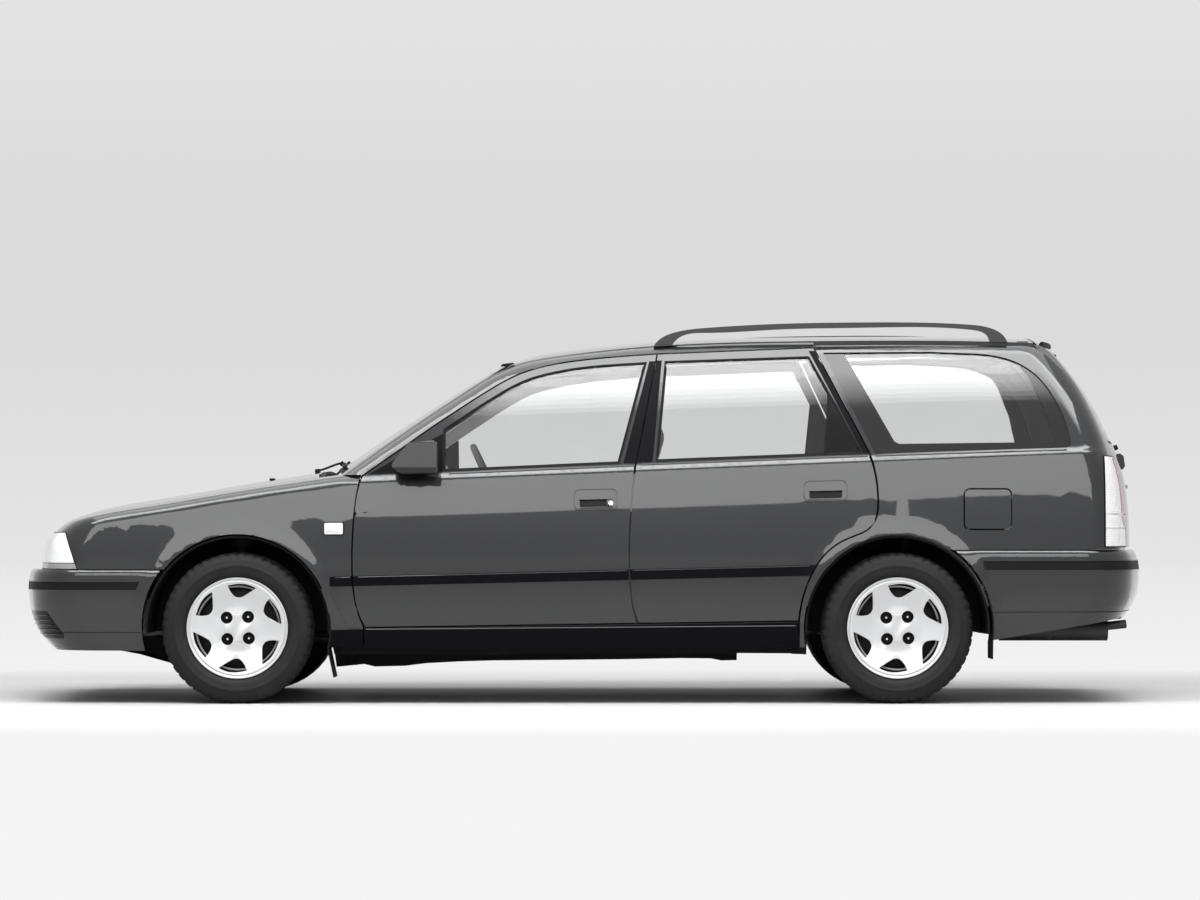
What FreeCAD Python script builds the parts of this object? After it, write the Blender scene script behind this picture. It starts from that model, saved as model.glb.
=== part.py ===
"""A mid-size five-door estate car of the early 1990s, built from separate panels.

X runs from the nose to the tail, Y to the car's right and Z up, in millimetres. The origin is on
the ground under the middle of the car. Every body panel is cut from a skin that follows one
rounded body form, so neighbouring panels stay flush, and the right side mirrors the left.
"""
import FreeCAD, Part
import math
import os
from FreeCAD import Vector

# Overall sizes
LENGTH = 4460.0
BODY_WIDTH = 1680.0
WHEELBASE = 2550.0
FRONT_OVERHANG = 893.0
TRACK = 1466.0
ROOF_HEIGHT = 1450.0
GROUND_CLEARANCE = 204.0

# Wheels and tyres
TYRE_R = 292.0
TYRE_W = 185.0
RIM_R = 194.0
RIM_BORE_R = 172.0
STUD_CIRCLE_R = 57.15
SPINDLE_R = 14.0
KINGPIN_R = 9.0
KINGPIN_INSET = 77.0
ARCH_R = 363.0
ARCH_FLARE = 9.0

# Panel thicknesses and gaps
SKIN = 8.0
DOOR_DEPTH = 58.0
FRAME_DEPTH = 34.0
PANEL_DEPTH = 26.0
PILLAR_START = 95.0
PILLAR_END = 137.0
SHUT_GAP = 6.0
HEM = 12.0
GLASS = 4.0
GLASS_RECESS = 5.0
SEAT_FIT = 0.3

# Heights and lines of the side
WIDEST_Z = 560.0
BELT_Z = 875.0
BELT_X = -844.0
BELT_RISE = 0.0412
SHOULDER_STEP = 14.0
DOOR_BOTTOM_Z = 300.0
SILL_BOTTOM_Z = 214.0
BUMPER_TOP_Z = 518.0
REAR_BUMPER_TOP_Z = 594.0
LAMP_TOP_Z = 660.0

# Edge roundings
SHOULDER_R = 45.0
CANT_R = 45.0
NOSE_CORNER_R = 130.0
TAIL_CORNER_R = 90.0
HEADER_R = 60.0
ROUND_POWER = 2.3

# Ranges of the moving parts, in degrees, are set in the record; the axes are here
FRONT_AXIS_Y = -819.0
REAR_AXIS_Y = -825.0
DOOR_AXIS_SETBACK = 62.0
HINGE_PIN_R = 3.0
HINGE_KNUCKLE_R = 5.0
HINGE_Z = (450.0, 715.0)
HINGE_H = 44.0
RUNNING_FIT = 0.08

FRONT_AXLE_X = -LENGTH / 2 + FRONT_OVERHANG
REAR_AXLE_X = FRONT_AXLE_X + WHEELBASE
HALF = BODY_WIDTH / 2
WHEEL_Y = -TRACK / 2
FAR = 3000.0

nodes = {}


# Small helpers for curves

def smooth_curve(points):
    """A natural cubic curve through (x, y) points, as a function of x, straight beyond its ends."""
    n = len(points)
    xs = [p[0] for p in points]
    ys = [p[1] for p in points]
    gap = [xs[i + 1] - xs[i] for i in range(n - 1)]
    lower = [0.0] * n
    value = [0.0] * n
    for i in range(1, n - 1):
        slope_change = (ys[i + 1] - ys[i]) / gap[i] - (ys[i] - ys[i - 1]) / gap[i - 1]
        pivot = 2 * (gap[i - 1] + gap[i]) - gap[i - 1] * lower[i - 1]
        lower[i] = gap[i] / pivot
        value[i] = (6 * slope_change - gap[i - 1] * value[i - 1]) / pivot
    bend = [0.0] * n
    for i in range(n - 2, 0, -1):
        bend[i] = value[i] - lower[i] * bend[i + 1]

    def at(x):
        i = 0
        while i < n - 2 and x > xs[i + 1]:
            i += 1
        run = gap[i]
        inside = min(max(x, xs[0]), xs[-1])
        a = (xs[i + 1] - inside) / run
        b = (inside - xs[i]) / run
        height = a * ys[i] + b * ys[i + 1]
        height += ((a ** 3 - a) * bend[i] + (b ** 3 - b) * bend[i + 1]) * run * run / 6
        end_slope = (ys[i + 1] - ys[i]) / run
        if x < xs[0]:
            return height + (x - xs[0]) * (end_slope - bend[1] * run / 6)
        if x > xs[-1]:
            return height + (x - xs[-1]) * (end_slope + bend[-2] * run / 6)
        return height
    return at


def rounded(parts, radius):
    """The largest of some signed distances, with the edges between them rounded."""
    reach = sum(max(p + radius, 0.0) ** ROUND_POWER for p in parts)
    if reach == 0.0:
        return max(parts)
    return reach ** (1 / ROUND_POWER) - radius


def steps(low, high, count):
    return [low + (high - low) * i / (count - 1) for i in range(count)]


# The body form

def belt_z(x):
    """Height of the side windows' lower edge."""
    return BELT_Z + BELT_RISE * (x - BELT_X)


def side_y(x, z):
    """Half-width of the body side at a place, with its tuck-under, shoulder, glass plane and flares."""
    along = x / 1000.0
    width = HALF - 8.0 * along ** 2 - 2.2 * along ** 4
    belt = belt_z(x)
    above = z - belt
    if z < WIDEST_Z:
        width -= 55.0 * ((WIDEST_Z - z) / 360.0) ** 2
    elif above < 0:
        width -= 26.0 * ((z - WIDEST_Z) / (belt - WIDEST_Z)) ** 2
    else:
        width -= 26.0 + 0.30 * above + 0.00034 * above ** 2
    roll = 1.0 / (1.0 + math.exp(-max(min((above + 8.0) / 5.0, 60.0), -60.0)))
    reach = 1.0 / (1.0 + math.exp(-max(min((x + 905.0) / 14.0, 60.0), -60.0)))
    width -= SHOULDER_STEP * roll * reach
    for axle in (FRONT_AXLE_X, REAR_AXLE_X):
        ring = math.hypot(x - axle, z - TYRE_R) - ARCH_R
        width += ARCH_FLARE * math.exp(-(ring / 38.0) ** 2)
    return width


hood_line = smooth_curve([(-2170, 640), (-2085, 693), (-2027, 722), (-1945, 751), (-1709, 797),
                          (-1400, 850), (-1080, 900), (-900, 925)])
roof_line = smooth_curve([(-500, 1318), (-178, 1378), (0, 1402), (300, 1430), (826, 1447),
                          (1280, ROOF_HEIGHT), (1700, 1443), (2000, 1430)])
nose_line = smooth_curve([(480, -2178), (560, -2170), (620, -2158), (663, -2135), (760, -2080)])
tail_line = smooth_curve([(480, 2196), (604, 2194), (750, 2188), (880, 2170), (981, 2138), (1115, 2077),
                          (1223, 2015), (1316, 1946), (1387, 1880), (1440, 1820)])
bumper_nose_line = smooth_curve([(195, -2120), (240, -2165), (300, -2203), (370, -2226), (440, -2230),
                                 (520, -2224)])
bumper_tail_line = smooth_curve([(240, 2120), (320, 2168), (390, 2212), (462, 2230), (545, 2226),
                                 (600, 2214)])


def side(x, y, z):
    return abs(y) - side_y(x, z)


def hood_top(x, y, z):
    return z - hood_line(x) + 30.0 * (y / 650.0) ** 2


def roof_top(x, y, z):
    return z - roof_line(x) + 42.0 * (y / 600.0) ** 2


def nose(x, y, z):
    return nose_line(z) + y * y / 4800.0 - x


def windscreen_x(y, z):
    """X of the windscreen's outer face."""
    bow = 12.0 * (1.0 - ((z - 1132.0) / 203.0) ** 2)
    return -967.0 + 1.566 * (z - 929.0) + y * y / 5400.0 - bow


def windscreen(x, y, z):
    return (windscreen_x(y, z) - x) * 0.54


def tail(x, y, z):
    return (x - tail_line(z) + y * y / 4400.0) * 0.93


def front_form(x, y, z):
    corner = rounded([side(x, y, z), nose(x, y, z)], NOSE_CORNER_R)
    return rounded([corner, hood_top(x, y, z)], SHOULDER_R)


def hood_form(x, y, z):
    return rounded([hood_top(x, y, z), nose(x, y, z)], SHOULDER_R)


def cabin_form(x, y, z):
    return rounded([side(x, y, z), roof_top(x, y, z), windscreen(x, y, z)], CANT_R)


def roof_form(x, y, z):
    return rounded([roof_top(x, y, z), windscreen(x, y, z)], HEADER_R)


def rear_form(x, y, z):
    corner = rounded([side(x, y, z), tail(x, y, z)], TAIL_CORNER_R)
    return rounded([corner, roof_top(x, y, z)], CANT_R)


def tailgate_form(x, y, z):
    return rounded([roof_top(x, y, z), tail(x, y, z)], CANT_R)


def lip(z, top):
    """How far a bumper's upper edge rolls inwards at a height."""
    return 12.0 * max(z - top + 26.0, 0.0) ** 2 / 26.0 ** 2


def front_bumper_form(x, y, z):
    face = bumper_nose_line(z) + y * y / 4800.0 - x
    return rounded([abs(y) - side_y(x, z) - 7.0, face], 170.0) + lip(z, BUMPER_TOP_Z)


def rear_bumper_form(x, y, z):
    face = x - bumper_tail_line(z) + y * y / 4400.0
    return rounded([abs(y) - side_y(x, z) - 7.0, face], 150.0) + lip(z, REAR_BUMPER_TOP_Z)


# The skins: each is thickened along its own direction towards the inside of the car

Y_IN = (0, 1, 0)
FRONT_IN = (1, 1, -1)
CANT_IN = (0.45, 1, -1)
QUARTER_IN = (-1, 1, -0.45)
HOOD_IN = (0.6, 0, -1)
ROOF_IN = (0.3, 0, -1)
GATE_IN = (-1, 0, -0.45)
SCREEN_IN = (1, 0, -0.6)
FRONT_BUMPER_IN = (1, 1, 0)
REAR_BUMPER_IN = (-1, 1, 0)


def grid_face(rows):
    surface = Part.BSplineSurface()
    surface.interpolate(rows)
    return surface.toShape()


def skin(form, inward, us, vs, origin):
    """A smooth face through the points where rays from origin(u, v) leave the body form."""
    ray = Vector(*inward).normalize() * -1
    rows = []
    for u in us:
        row = []
        for v in vs:
            start = origin(u, v)
            low, high = 0.0, 2600.0
            for _ in range(24):
                middle = (low + high) / 2
                p = start + ray * middle
                if form(p.x, p.y, p.z) < 0:
                    low = middle
                else:
                    high = middle
            row.append(start + ray * low)
        rows.append(row)
    return grid_face(rows)


def side_skin():
    """The door plane of the left side, with closer rows at the belt."""
    rows = steps(0.0, 0.90, 14) + [0.94, 0.965, 0.98, 0.988, 0.996, 1.004, 1.014, 1.03, 1.06]
    rows += steps(1.12, 1.66, 9)
    columns = []
    for x in steps(-1180, 1320, 60):
        heights = [170.0 + (belt_z(x) - 170.0) * row for row in rows]
        columns.append([Vector(x, -side_y(x, z), z) for z in heights])
    return grid_face(columns)


def front_skin():
    return skin(front_form, FRONT_IN, steps(-1960, 260, 72), steps(-320, 660, 46),
                lambda x, w: Vector(x, 0.707 * w, 0.707 * w))


def hood_skin():
    return skin(hood_form, HOOD_IN, steps(-1760, -480, 34), steps(-860, 860, 19),
                lambda x, y: Vector(x, y, 0))


def cant_skin():
    return skin(cabin_form, CANT_IN, steps(-920, 1560, 50), steps(-150, 800, 40),
                lambda x, w: Vector(x, 0.707 * w, 0.707 * w))


def roof_skin():
    return skin(roof_form, ROOF_IN, steps(-180, 2300, 36), steps(-640, 640, 15),
                lambda x, y: Vector(x, y, 0))


def windscreen_skin():
    ys = steps(-780, 780, 15)
    return grid_face([[Vector(windscreen_x(y, z), y, z) for y in ys] for z in steps(840, 1420, 12)])


def quarter_skin():
    rows = steps(-760, -60, 24) + steps(-44, 120, 14) + steps(140, 520, 14)
    return skin(rear_form, QUARTER_IN, steps(-80, 1760, 68), rows,
                lambda x, w: Vector(x, 0, belt_z(x + 830) - 373 + w))


def tailgate_skin():
    return skin(tailgate_form, GATE_IN, steps(-700, 700, 15), steps(200, 1330, 40),
                lambda y, z: Vector(1500, y, z))


def front_bumper_skin():
    return skin(front_bumper_form, FRONT_BUMPER_IN, steps(-2150, -700, 60), steps(190, 540, 30),
                lambda x, z: Vector(x, 100, z))


def rear_bumper_skin():
    return skin(rear_bumper_form, REAR_BUMPER_IN, steps(2150, 500, 60), steps(230, 620, 30),
                lambda x, z: Vector(x, 100, z))


def slab(face, inward, start, end):
    """The layer of wall between two depths behind a skin, measured along its inward direction."""
    way = Vector(*inward).normalize()
    layer = face.copy()
    layer.translate(way * start)
    return layer.extrude(way * (end - start))


# Regions that cut panels out of the skins

NORMALS = {"xz": Vector(0, 1, 0), "xy": Vector(0, 0, 1), "yz": Vector(1, 0, 0)}


def point_on(plane, a, b, level):
    if plane == "xz":
        return Vector(a, level, b)
    if plane == "xy":
        return Vector(a, b, level)
    return Vector(level, a, b)


def outline(spans, plane="xz", level=-FAR):
    """A closed wire. A span of two points is a line, and a longer one a smooth curve."""
    edges = []
    for span in spans:
        points = [point_on(plane, a, b, level) for a, b in span]
        if len(points) == 2:
            edges.append(Part.makeLine(*points))
        else:
            curve = Part.BSplineCurve()
            curve.interpolate(points)
            edges.append(curve.toShape())
    return Part.Wire(edges)


def crossing(a, b, c, d):
    """Where the line a-b meets the line c-d, or the middle of b and c if they run alike."""
    ux, uy = b[0] - a[0], b[1] - a[1]
    vx, vy = d[0] - c[0], d[1] - c[1]
    turn = ux * vy - uy * vx
    if abs(turn) < 0.05 * math.hypot(ux, uy) * math.hypot(vx, vy):
        return ((b[0] + c[0]) / 2, (b[1] + c[1]) / 2)
    t = ((c[0] - a[0]) * vy - (c[1] - a[1]) * vx) / turn
    return (a[0] + ux * t, a[1] + uy * t)


def grown(spans, amount):
    """The outline moved outwards by an amount all round."""
    loop = [point for span in spans for point in span[:-1]]
    area = sum(p[0] * q[1] - q[0] * p[1] for p, q in zip(loop, loop[1:] + loop[:1]))
    turn = amount if area > 0 else -amount
    moved = []
    for span in spans:
        points = []
        for i, (a, b) in enumerate(span):
            before = span[max(i - 1, 0)]
            after = span[min(i + 1, len(span) - 1)]
            run = math.hypot(after[0] - before[0], after[1] - before[1])
            points.append((a + turn * (after[1] - before[1]) / run, b - turn * (after[0] - before[0]) / run))
        moved.append(points)
    for first, second in zip(moved, moved[1:] + moved[:1]):
        corner = crossing(first[-2], first[-1], second[0], second[1])
        first[-1] = corner
        second[0] = corner
    return moved


def region(spans, plane="xz", low=-FAR, high=0.0, grow=0.0, lean=0.0):
    """A prism over an outline, grown sideways, or leaning towards the nose with depth."""
    wire = outline(grown(spans, grow) if grow else spans, plane, low)
    if lean:
        wire.translate(Vector(-lean * (low + HALF), 0, 0))
    way = NORMALS[plane] * (high - low) + Vector(-lean * (high - low), 0, 0)
    return Part.Face(wire).extrude(way)


def polygon(points, plane="xz", low=-FAR, high=0.0):
    corners = [point_on(plane, a, b, low) for a, b in points]
    return Part.Face(Part.makePolygon(corners + corners[:1])).extrude(NORMALS[plane] * (high - low))


def rounded_polygon(points, radius, plane="xz", low=-FAR, high=0.0):
    """A prism over a polygon with rounded corners."""
    corners = [point_on(plane, a, b, low) for a, b in points]
    edges = []
    ends = []
    for i, corner in enumerate(corners):
        before = (corners[i - 1] - corner).normalize()
        after = (corners[(i + 1) % len(corners)] - corner).normalize()
        half_turn = before.getAngle(after) / 2
        middle = (before + after).normalize()
        apex = corner + middle * (radius / math.sin(half_turn) - radius)
        first = corner + before * (radius / math.tan(half_turn))
        last = corner + after * (radius / math.tan(half_turn))
        if ends:
            edges.append(Part.makeLine(ends[-1][1], first))
        edges.append(Part.Arc(first, apex, last).toShape())
        ends.append((first, last))
    edges.append(Part.makeLine(ends[-1][1], ends[0][0]))
    return Part.Face(Part.Wire(edges)).extrude(NORMALS[plane] * (high - low))


def shifted(points, dx=0.0, dz=0.0):
    return [(a + dx, b + dz) for a, b in points]


def block(x0, x1, y0, y1, z0, z1):
    return Part.makeBox(x1 - x0, y1 - y0, z1 - z0, Vector(x0, y0, z0))


def rod(start, end, radius):
    along = Vector(*end) - Vector(*start)
    return Part.makeCylinder(radius, along.Length, Vector(*start), along)


def mirrored(shape):
    return shape.mirror(Vector(0, 0, 0), Vector(0, 1, 0))


def both(shape):
    """A left piece and its mirror image."""
    return Part.makeCompound([shape, mirrored(shape)])


def across(shape):
    """One piece from a left half that ends on the car's middle plane."""
    return shape.fuse(mirrored(shape)).removeSplitter()


def arch(axle_x, radius, low=-FAR, high=0.0):
    return Part.makeCylinder(radius, high - low, Vector(axle_x, low, TYRE_R), Vector(0, 1, 0))


def wedge(first, last, inward, away, reach=120.0):
    """A cutter beside a leaning edge between two points, for a door edge that swings past another."""
    way = Vector(*inward).normalize()
    a = Vector(*first) - way * 30
    b = Vector(*last) - way * 30
    face = Part.Face(Part.makePolygon([a, b, b + way * reach, a + way * reach, a]))
    return face.extrude(Vector(*away))


# Outlines of the left side, as (x, z)

DOOR_LEAD = [(-853, 878), (-871, 819), (-884, 713), (-890, 536), (-884, 430), (-867, 350), (-842, 297)]
DOOR_SPLIT = [(210, 313), (188, 395), (179, 478), (181, 713), (201, 920)]
FRAME_FRONT = [(287, 1356), (140, 1346), (-4, 1332), (-130, 1312), (-251, 1276), (-365, 1214),
               (-464, 1150), (-580, 1072), (-720, 972), (-853, 878)]
REAR_DOOR_BACK = [(1103, 968), (1128, 875), (1135, 794), (1125, 714), (1096, 676), (1060, 657),
                  (1008, 636), (938, 588), (886, 518), (852, 440), (837, 380), (829, 322)]
DOOR_SPLIT_TOP = (287, 1356)
REAR_DOOR_TOP = (897, 1381)

front_door_spans = [DOOR_LEAD, [DOOR_LEAD[-1], (DOOR_SPLIT[0][0] - SHUT_GAP / 2, DOOR_SPLIT[0][1])],
                    shifted(DOOR_SPLIT, -SHUT_GAP / 2),
                    [(DOOR_SPLIT[-1][0] - SHUT_GAP / 2, DOOR_SPLIT[-1][1]), (287 - SHUT_GAP / 2, 1356)],
                    [(287 - SHUT_GAP / 2, 1356)] + FRAME_FRONT[1:]]
rear_door_spans = [[(DOOR_SPLIT_TOP[0] + SHUT_GAP / 2, DOOR_SPLIT_TOP[1]), REAR_DOOR_TOP],
                   [REAR_DOOR_TOP, REAR_DOOR_BACK[0]], REAR_DOOR_BACK,
                   [REAR_DOOR_BACK[-1], (DOOR_SPLIT[0][0] + SHUT_GAP / 2, DOOR_SPLIT[0][1])],
                   shifted(DOOR_SPLIT, SHUT_GAP / 2),
                   [(DOOR_SPLIT[-1][0] + SHUT_GAP / 2, DOOR_SPLIT[-1][1]),
                    (DOOR_SPLIT_TOP[0] + SHUT_GAP / 2, DOOR_SPLIT_TOP[1])]]
both_doors_spans = [DOOR_LEAD, [DOOR_LEAD[-1], REAR_DOOR_BACK[-1]], REAR_DOOR_BACK[::-1],
                    [REAR_DOOR_BACK[0], REAR_DOOR_TOP], [REAR_DOOR_TOP, DOOR_SPLIT_TOP], FRAME_FRONT]
front_window_spans = [[(-545, 896), (140, 926)], [(140, 926), (247, 1327)],
                      [(247, 1327), (100, 1318), (-20, 1306), (-130, 1286), (-230, 1256), (-330, 1203),
                       (-430, 1139), (-545, 1062)],
                      [(-545, 1062), (-545, 896)]]
rear_window_spans = [[(278, 934), (1082, 964)], [(1082, 964), (880, 1350)], [(880, 1350), (316, 1331)],
                     [(316, 1331), (278, 934)]]
quarter_window_spans = [[(1127, 966), (1868, 990)],
                        [(1868, 990), (1884, 996), (1890, 1012)],
                        [(1890, 1012), (1872, 1090), (1842, 1165), (1795, 1243), (1745, 1294), (1666, 1337),
                         (1567, 1358), (1362, 1368)],
                        [(1362, 1368), (935, 1364)], [(935, 1364), (1127, 966)]]


# Skins shared by the panels

side_face = side_skin()
front_face = front_skin()
hood_face = hood_skin()
cant_face = cant_skin()
roof_face = roof_skin()
screen_face = windscreen_skin()
quarter_face = quarter_skin()
gate_face = tailgate_skin()

front_arch = arch(FRONT_AXLE_X, ARCH_R)
rear_arch = arch(REAR_AXLE_X, ARCH_R)
BELT_CUT = [(-1200, belt_z(-1200)), (1400, belt_z(1400))]
above_belt = polygon([BELT_CUT[0], BELT_CUT[1], (1400, 1600), (-1200, 1600)])
below_belt = polygon([BELT_CUT[0], BELT_CUT[1], (1400, 0), (-1200, 0)])

# Doors: a deep lower part and a thin window frame, with leaning back edges that swing clear

front_door_prism = region(front_door_spans)
rear_door_prism = region(rear_door_spans)
lower_layer = slab(side_face, Y_IN, 0, DOOR_DEPTH)
upper_layer = slab(side_face, Y_IN, 0, FRAME_DEPTH)


def door(spans, window_spans, top, bottom, lean, axis):
    prism = region(spans)
    leaning = region(spans, lean=0.09)
    low_part = lower_layer.common(prism).common(leaning).common(below_belt)
    frame = upper_layer.common(prism).common(above_belt)
    cutter = wedge((top[0], -side_y(*top), top[1]), (bottom[0], -side_y(*bottom), bottom[1]),
                   (-lean, 1, 0), (150, 0, 0))
    frame = frame.cut(cutter).cut(region(window_spans))
    shell = low_part.fuse(frame).removeSplitter()
    for z in HINGE_Z:
        shell = shell.cut(hinge_pocket(axis, z))
    return shell


FRONT_AXIS = (min(x for x, z in DOOR_LEAD) + DOOR_AXIS_SETBACK, FRONT_AXIS_Y)
REAR_AXIS = (min(x for x, z in DOOR_SPLIT) + SHUT_GAP / 2 + DOOR_AXIS_SETBACK, REAR_AXIS_Y)


def hinge_pocket(axis, z):
    """Room in a door's leading edge for one hinge, with the holes for its pin."""
    x, y = axis
    room = block(x - 2 * DOOR_AXIS_SETBACK, x + HINGE_KNUCKLE_R + 6, y - HINGE_KNUCKLE_R - 1,
                 y + PILLAR_START, z - HINGE_H / 2 - 3, z + HINGE_H / 2 + 3)
    pin = rod((x, y, z - HINGE_H), (x, y, z + HINGE_H), HINGE_PIN_R + RUNNING_FIT)
    return room.fuse(pin)


def hinge(axis, z):
    """The pillar's half of one hinge, with its pin."""
    x, y = axis
    low, high = z - HINGE_H / 2, z + HINGE_H / 2
    arm = block(x - 4, x + 4, y, -HALF + PILLAR_START + 30, low, high)
    arm = arm.fuse(block(x - DOOR_AXIS_SETBACK, x + 5, -HALF + PILLAR_START + 1, -HALF + PILLAR_END, low, high))
    knuckle = rod((x, y, low), (x, y, high), HINGE_KNUCKLE_R)
    pin = rod((x, y, z - HINGE_H + 1), (x, y, z + HINGE_H - 1), HINGE_PIN_R)
    return arm.fuse(knuckle).fuse(pin)


front_door_left = door(front_door_spans, front_window_spans, (DOOR_SPLIT_TOP[0] - SHUT_GAP / 2, 1356),
                       (DOOR_SPLIT[-1][0] - SHUT_GAP / 2, 920), 0.24, FRONT_AXIS)
rear_door_left = door(rear_door_spans, rear_window_spans, REAR_DOOR_TOP, REAR_DOOR_BACK[0], 0.37, REAR_AXIS)
front_door_glass_left = slab(side_face, Y_IN, GLASS_RECESS, GLASS_RECESS + GLASS).common(
    region(front_window_spans, grow=-SEAT_FIT))
rear_door_glass_left = slab(side_face, Y_IN, GLASS_RECESS, GLASS_RECESS + GLASS).common(
    region(rear_window_spans, grow=-SEAT_FIT))

# Body side: cant rail and windscreen pillar, pillars behind the doors, and sill

RAIL_DEPTH = 120.0
DITCH_Y = 560.0
FRAME_REBATE = FRAME_DEPTH + 12.0
opening_front = region(grown(front_door_spans, -46.0))
opening_rear = region(grown(rear_door_spans, -46.0))
door_space = slab(side_face, Y_IN, -80, PILLAR_START - 5).common(below_belt).fuse(
    slab(side_face, Y_IN, -80, FRAME_REBATE).common(above_belt)).common(
    region(both_doors_spans, grow=SHUT_GAP))
screen_spans = [[(-676, 885), (-340, 907), (0, 916), (340, 907), (676, 885)],
                [(676, 885), (575, 1322)],
                [(575, 1322), (290, 1331), (0, 1334), (-290, 1331), (-575, 1322)],
                [(-575, 1322), (-676, 885)]]
screen_opening = region(screen_spans, plane="yz", low=-FAR, high=0.0)
fender_cover = slab(front_face, FRONT_IN, -0.8, 60).common(block(-2400, -856, -900, 0, 100, 1100))

rail = slab(cant_face, CANT_IN, 0, RAIL_DEPTH).common(
    polygon([(-968, 884), (-860, 884), (899.7, 1290), (899.7, 1500), (-968, 1500)], high=-DITCH_Y))
rail = rail.cut(screen_opening)
ring = slab(side_face, Y_IN, PILLAR_START, PILLAR_END).common(
    polygon([(-905, SILL_BOTTOM_Z), (-905, 950), (150, 1005), (1165, 1005), (1165, 660), (880, 480),
             (840, SILL_BOTTOM_Z)]))
post = slab(side_face, Y_IN, FRAME_REBATE, PILLAR_END).common(
    polygon([(150, 932), (330, 938), (370, 1340), (195, 1340)]))
foot = slab(side_face, Y_IN, FRAME_REBATE, PILLAR_END).common(
    polygon([(-870, 884), (-720, 890), (-720, 975), (-870, 975)])).cut(screen_opening)
screen_front = slab(screen_face, (0.54, 0, -0.84), -500, 12)
foot = foot.cut(screen_front)
sill = slab(side_face, Y_IN, 0, PILLAR_END).common(
    polygon([(-847, SILL_BOTTOM_Z), (835, SILL_BOTTOM_Z), (835, 340), (-847, 315)]))
body_side = rail.fuse([ring.cut(screen_front), post, foot, sill]).cut(opening_front).cut(opening_rear).cut(door_space).cut(fender_cover)
body_side = body_side.cut(arch(REAR_AXLE_X, ARCH_R + 20))
hinges = [hinge(axis, z) for axis in (FRONT_AXIS, REAR_AXIS) for z in HINGE_Z]
body_side_left = body_side.fuse(hinges).removeSplitter()

nodes["front_door_left"] = front_door_left
nodes["rear_door_left"] = rear_door_left
nodes["front_door_glass_left"] = front_door_glass_left
nodes["rear_door_glass_left"] = rear_door_glass_left
nodes["body_side_left"] = body_side_left

# Door mirrors, strips and handles

STRIP_PROUD = 9.0
STRIP_LINE = [(-965, 453), (900, 496), (900, 536), (-965, 490)]
strip_band = slab(side_face, Y_IN, -STRIP_PROUD, 1).common(polygon(STRIP_LINE))
handle_layer = slab(side_face, Y_IN, -4, 8)
recess_layer = slab(side_face, Y_IN, -30, 24)


def handle(x, z):
    return handle_layer.common(rounded_polygon([(x - 70, z - 3), (x + 70, z), (x + 70, z + 27),
                                                (x - 70, z + 24)], 8))


def handle_recess(x, z):
    return recess_layer.common(rounded_polygon([(x - 64, z - 32), (x + 64, z - 29), (x + 64, z + 12),
                                                (x - 64, z + 9)], 9))


front_trim = strip_band.common(region(front_door_spans)).fuse(handle(48, 791))
rear_trim = strip_band.common(region(rear_door_spans)).fuse(handle(935, 824))
nodes["front_door_left"] = front_door_left.cut(handle_recess(48, 791)).fuse(front_trim).removeSplitter()
nodes["rear_door_left"] = rear_door_left.cut(handle_recess(935, 824)).fuse(rear_trim).removeSplitter()

mirror_head = rounded_polygon([(-738, 915), (-668, 1006), (-561, 1014), (-561, 889), (-700, 886)], 16,
                              low=-990, high=-815)
mirror_head = mirror_head.common(rounded_polygon([(-985, 900), (-972, 1020), (-815, 1020), (-815, 880),
                                                  (-960, 880)], 22, plane="yz", low=-800, high=-500))
mirror_head = mirror_head.cut(rounded_polygon([(-968, 908), (-956, 1002), (-832, 1002), (-832, 898), (-950, 898)],
                                              12, plane="yz", low=-572, high=-500))
mirror_foot = block(-720, -600, -850, -740, 893, 930)
mirror_left = mirror_head.fuse(mirror_foot).cut(slab(side_face, Y_IN, -SEAT_FIT, 200)).removeSplitter()
nodes["mirror_left"] = mirror_left

# Front wing, headlamps, grille, bonnet and scuttle

PANEL = 22.0
BONNET_GAP = 6.0
BONNET_AXIS = (-972.0, 876.0)
LAMP_Z = (BUMPER_TOP_Z + 0.6, 659.5)
LAMP_INNER_Y = -335.0
GRILLE_GAP = 0.5
bonnet_spans = [[(-1030, -672), (-1040, -520), (-1055, -280), (-1062, 0), (-1055, 280), (-1040, 520), (-1030, 672)],
                [(-1030, 672), (-1300, 672), (-1600, 664), (-1960, 628)],
                [(-1960, 628), (-2300, 590)], [(-2300, 590), (-2300, -590)], [(-2300, -590), (-1960, -628)],
                [(-1960, -628), (-1600, -664), (-1300, -672), (-1030, -672)]]
bonnet_prism = region(bonnet_spans, plane="xy", low=640, high=FAR)
bonnet_room = region(bonnet_spans, plane="xy", low=-FAR, high=FAR, grow=BONNET_GAP)
lamp_side = [(-2300, LAMP_Z[0]), (-1960, LAMP_Z[0]), (-2011, LAMP_Z[1]), (-2300, LAMP_Z[1])]
lamp_room = polygon([(-2300, 400), (-1959, 400), (-1959, 520), (-2009.5, LAMP_Z[1] + 1.5), (-2300, LAMP_Z[1] + 1.5)])

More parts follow.
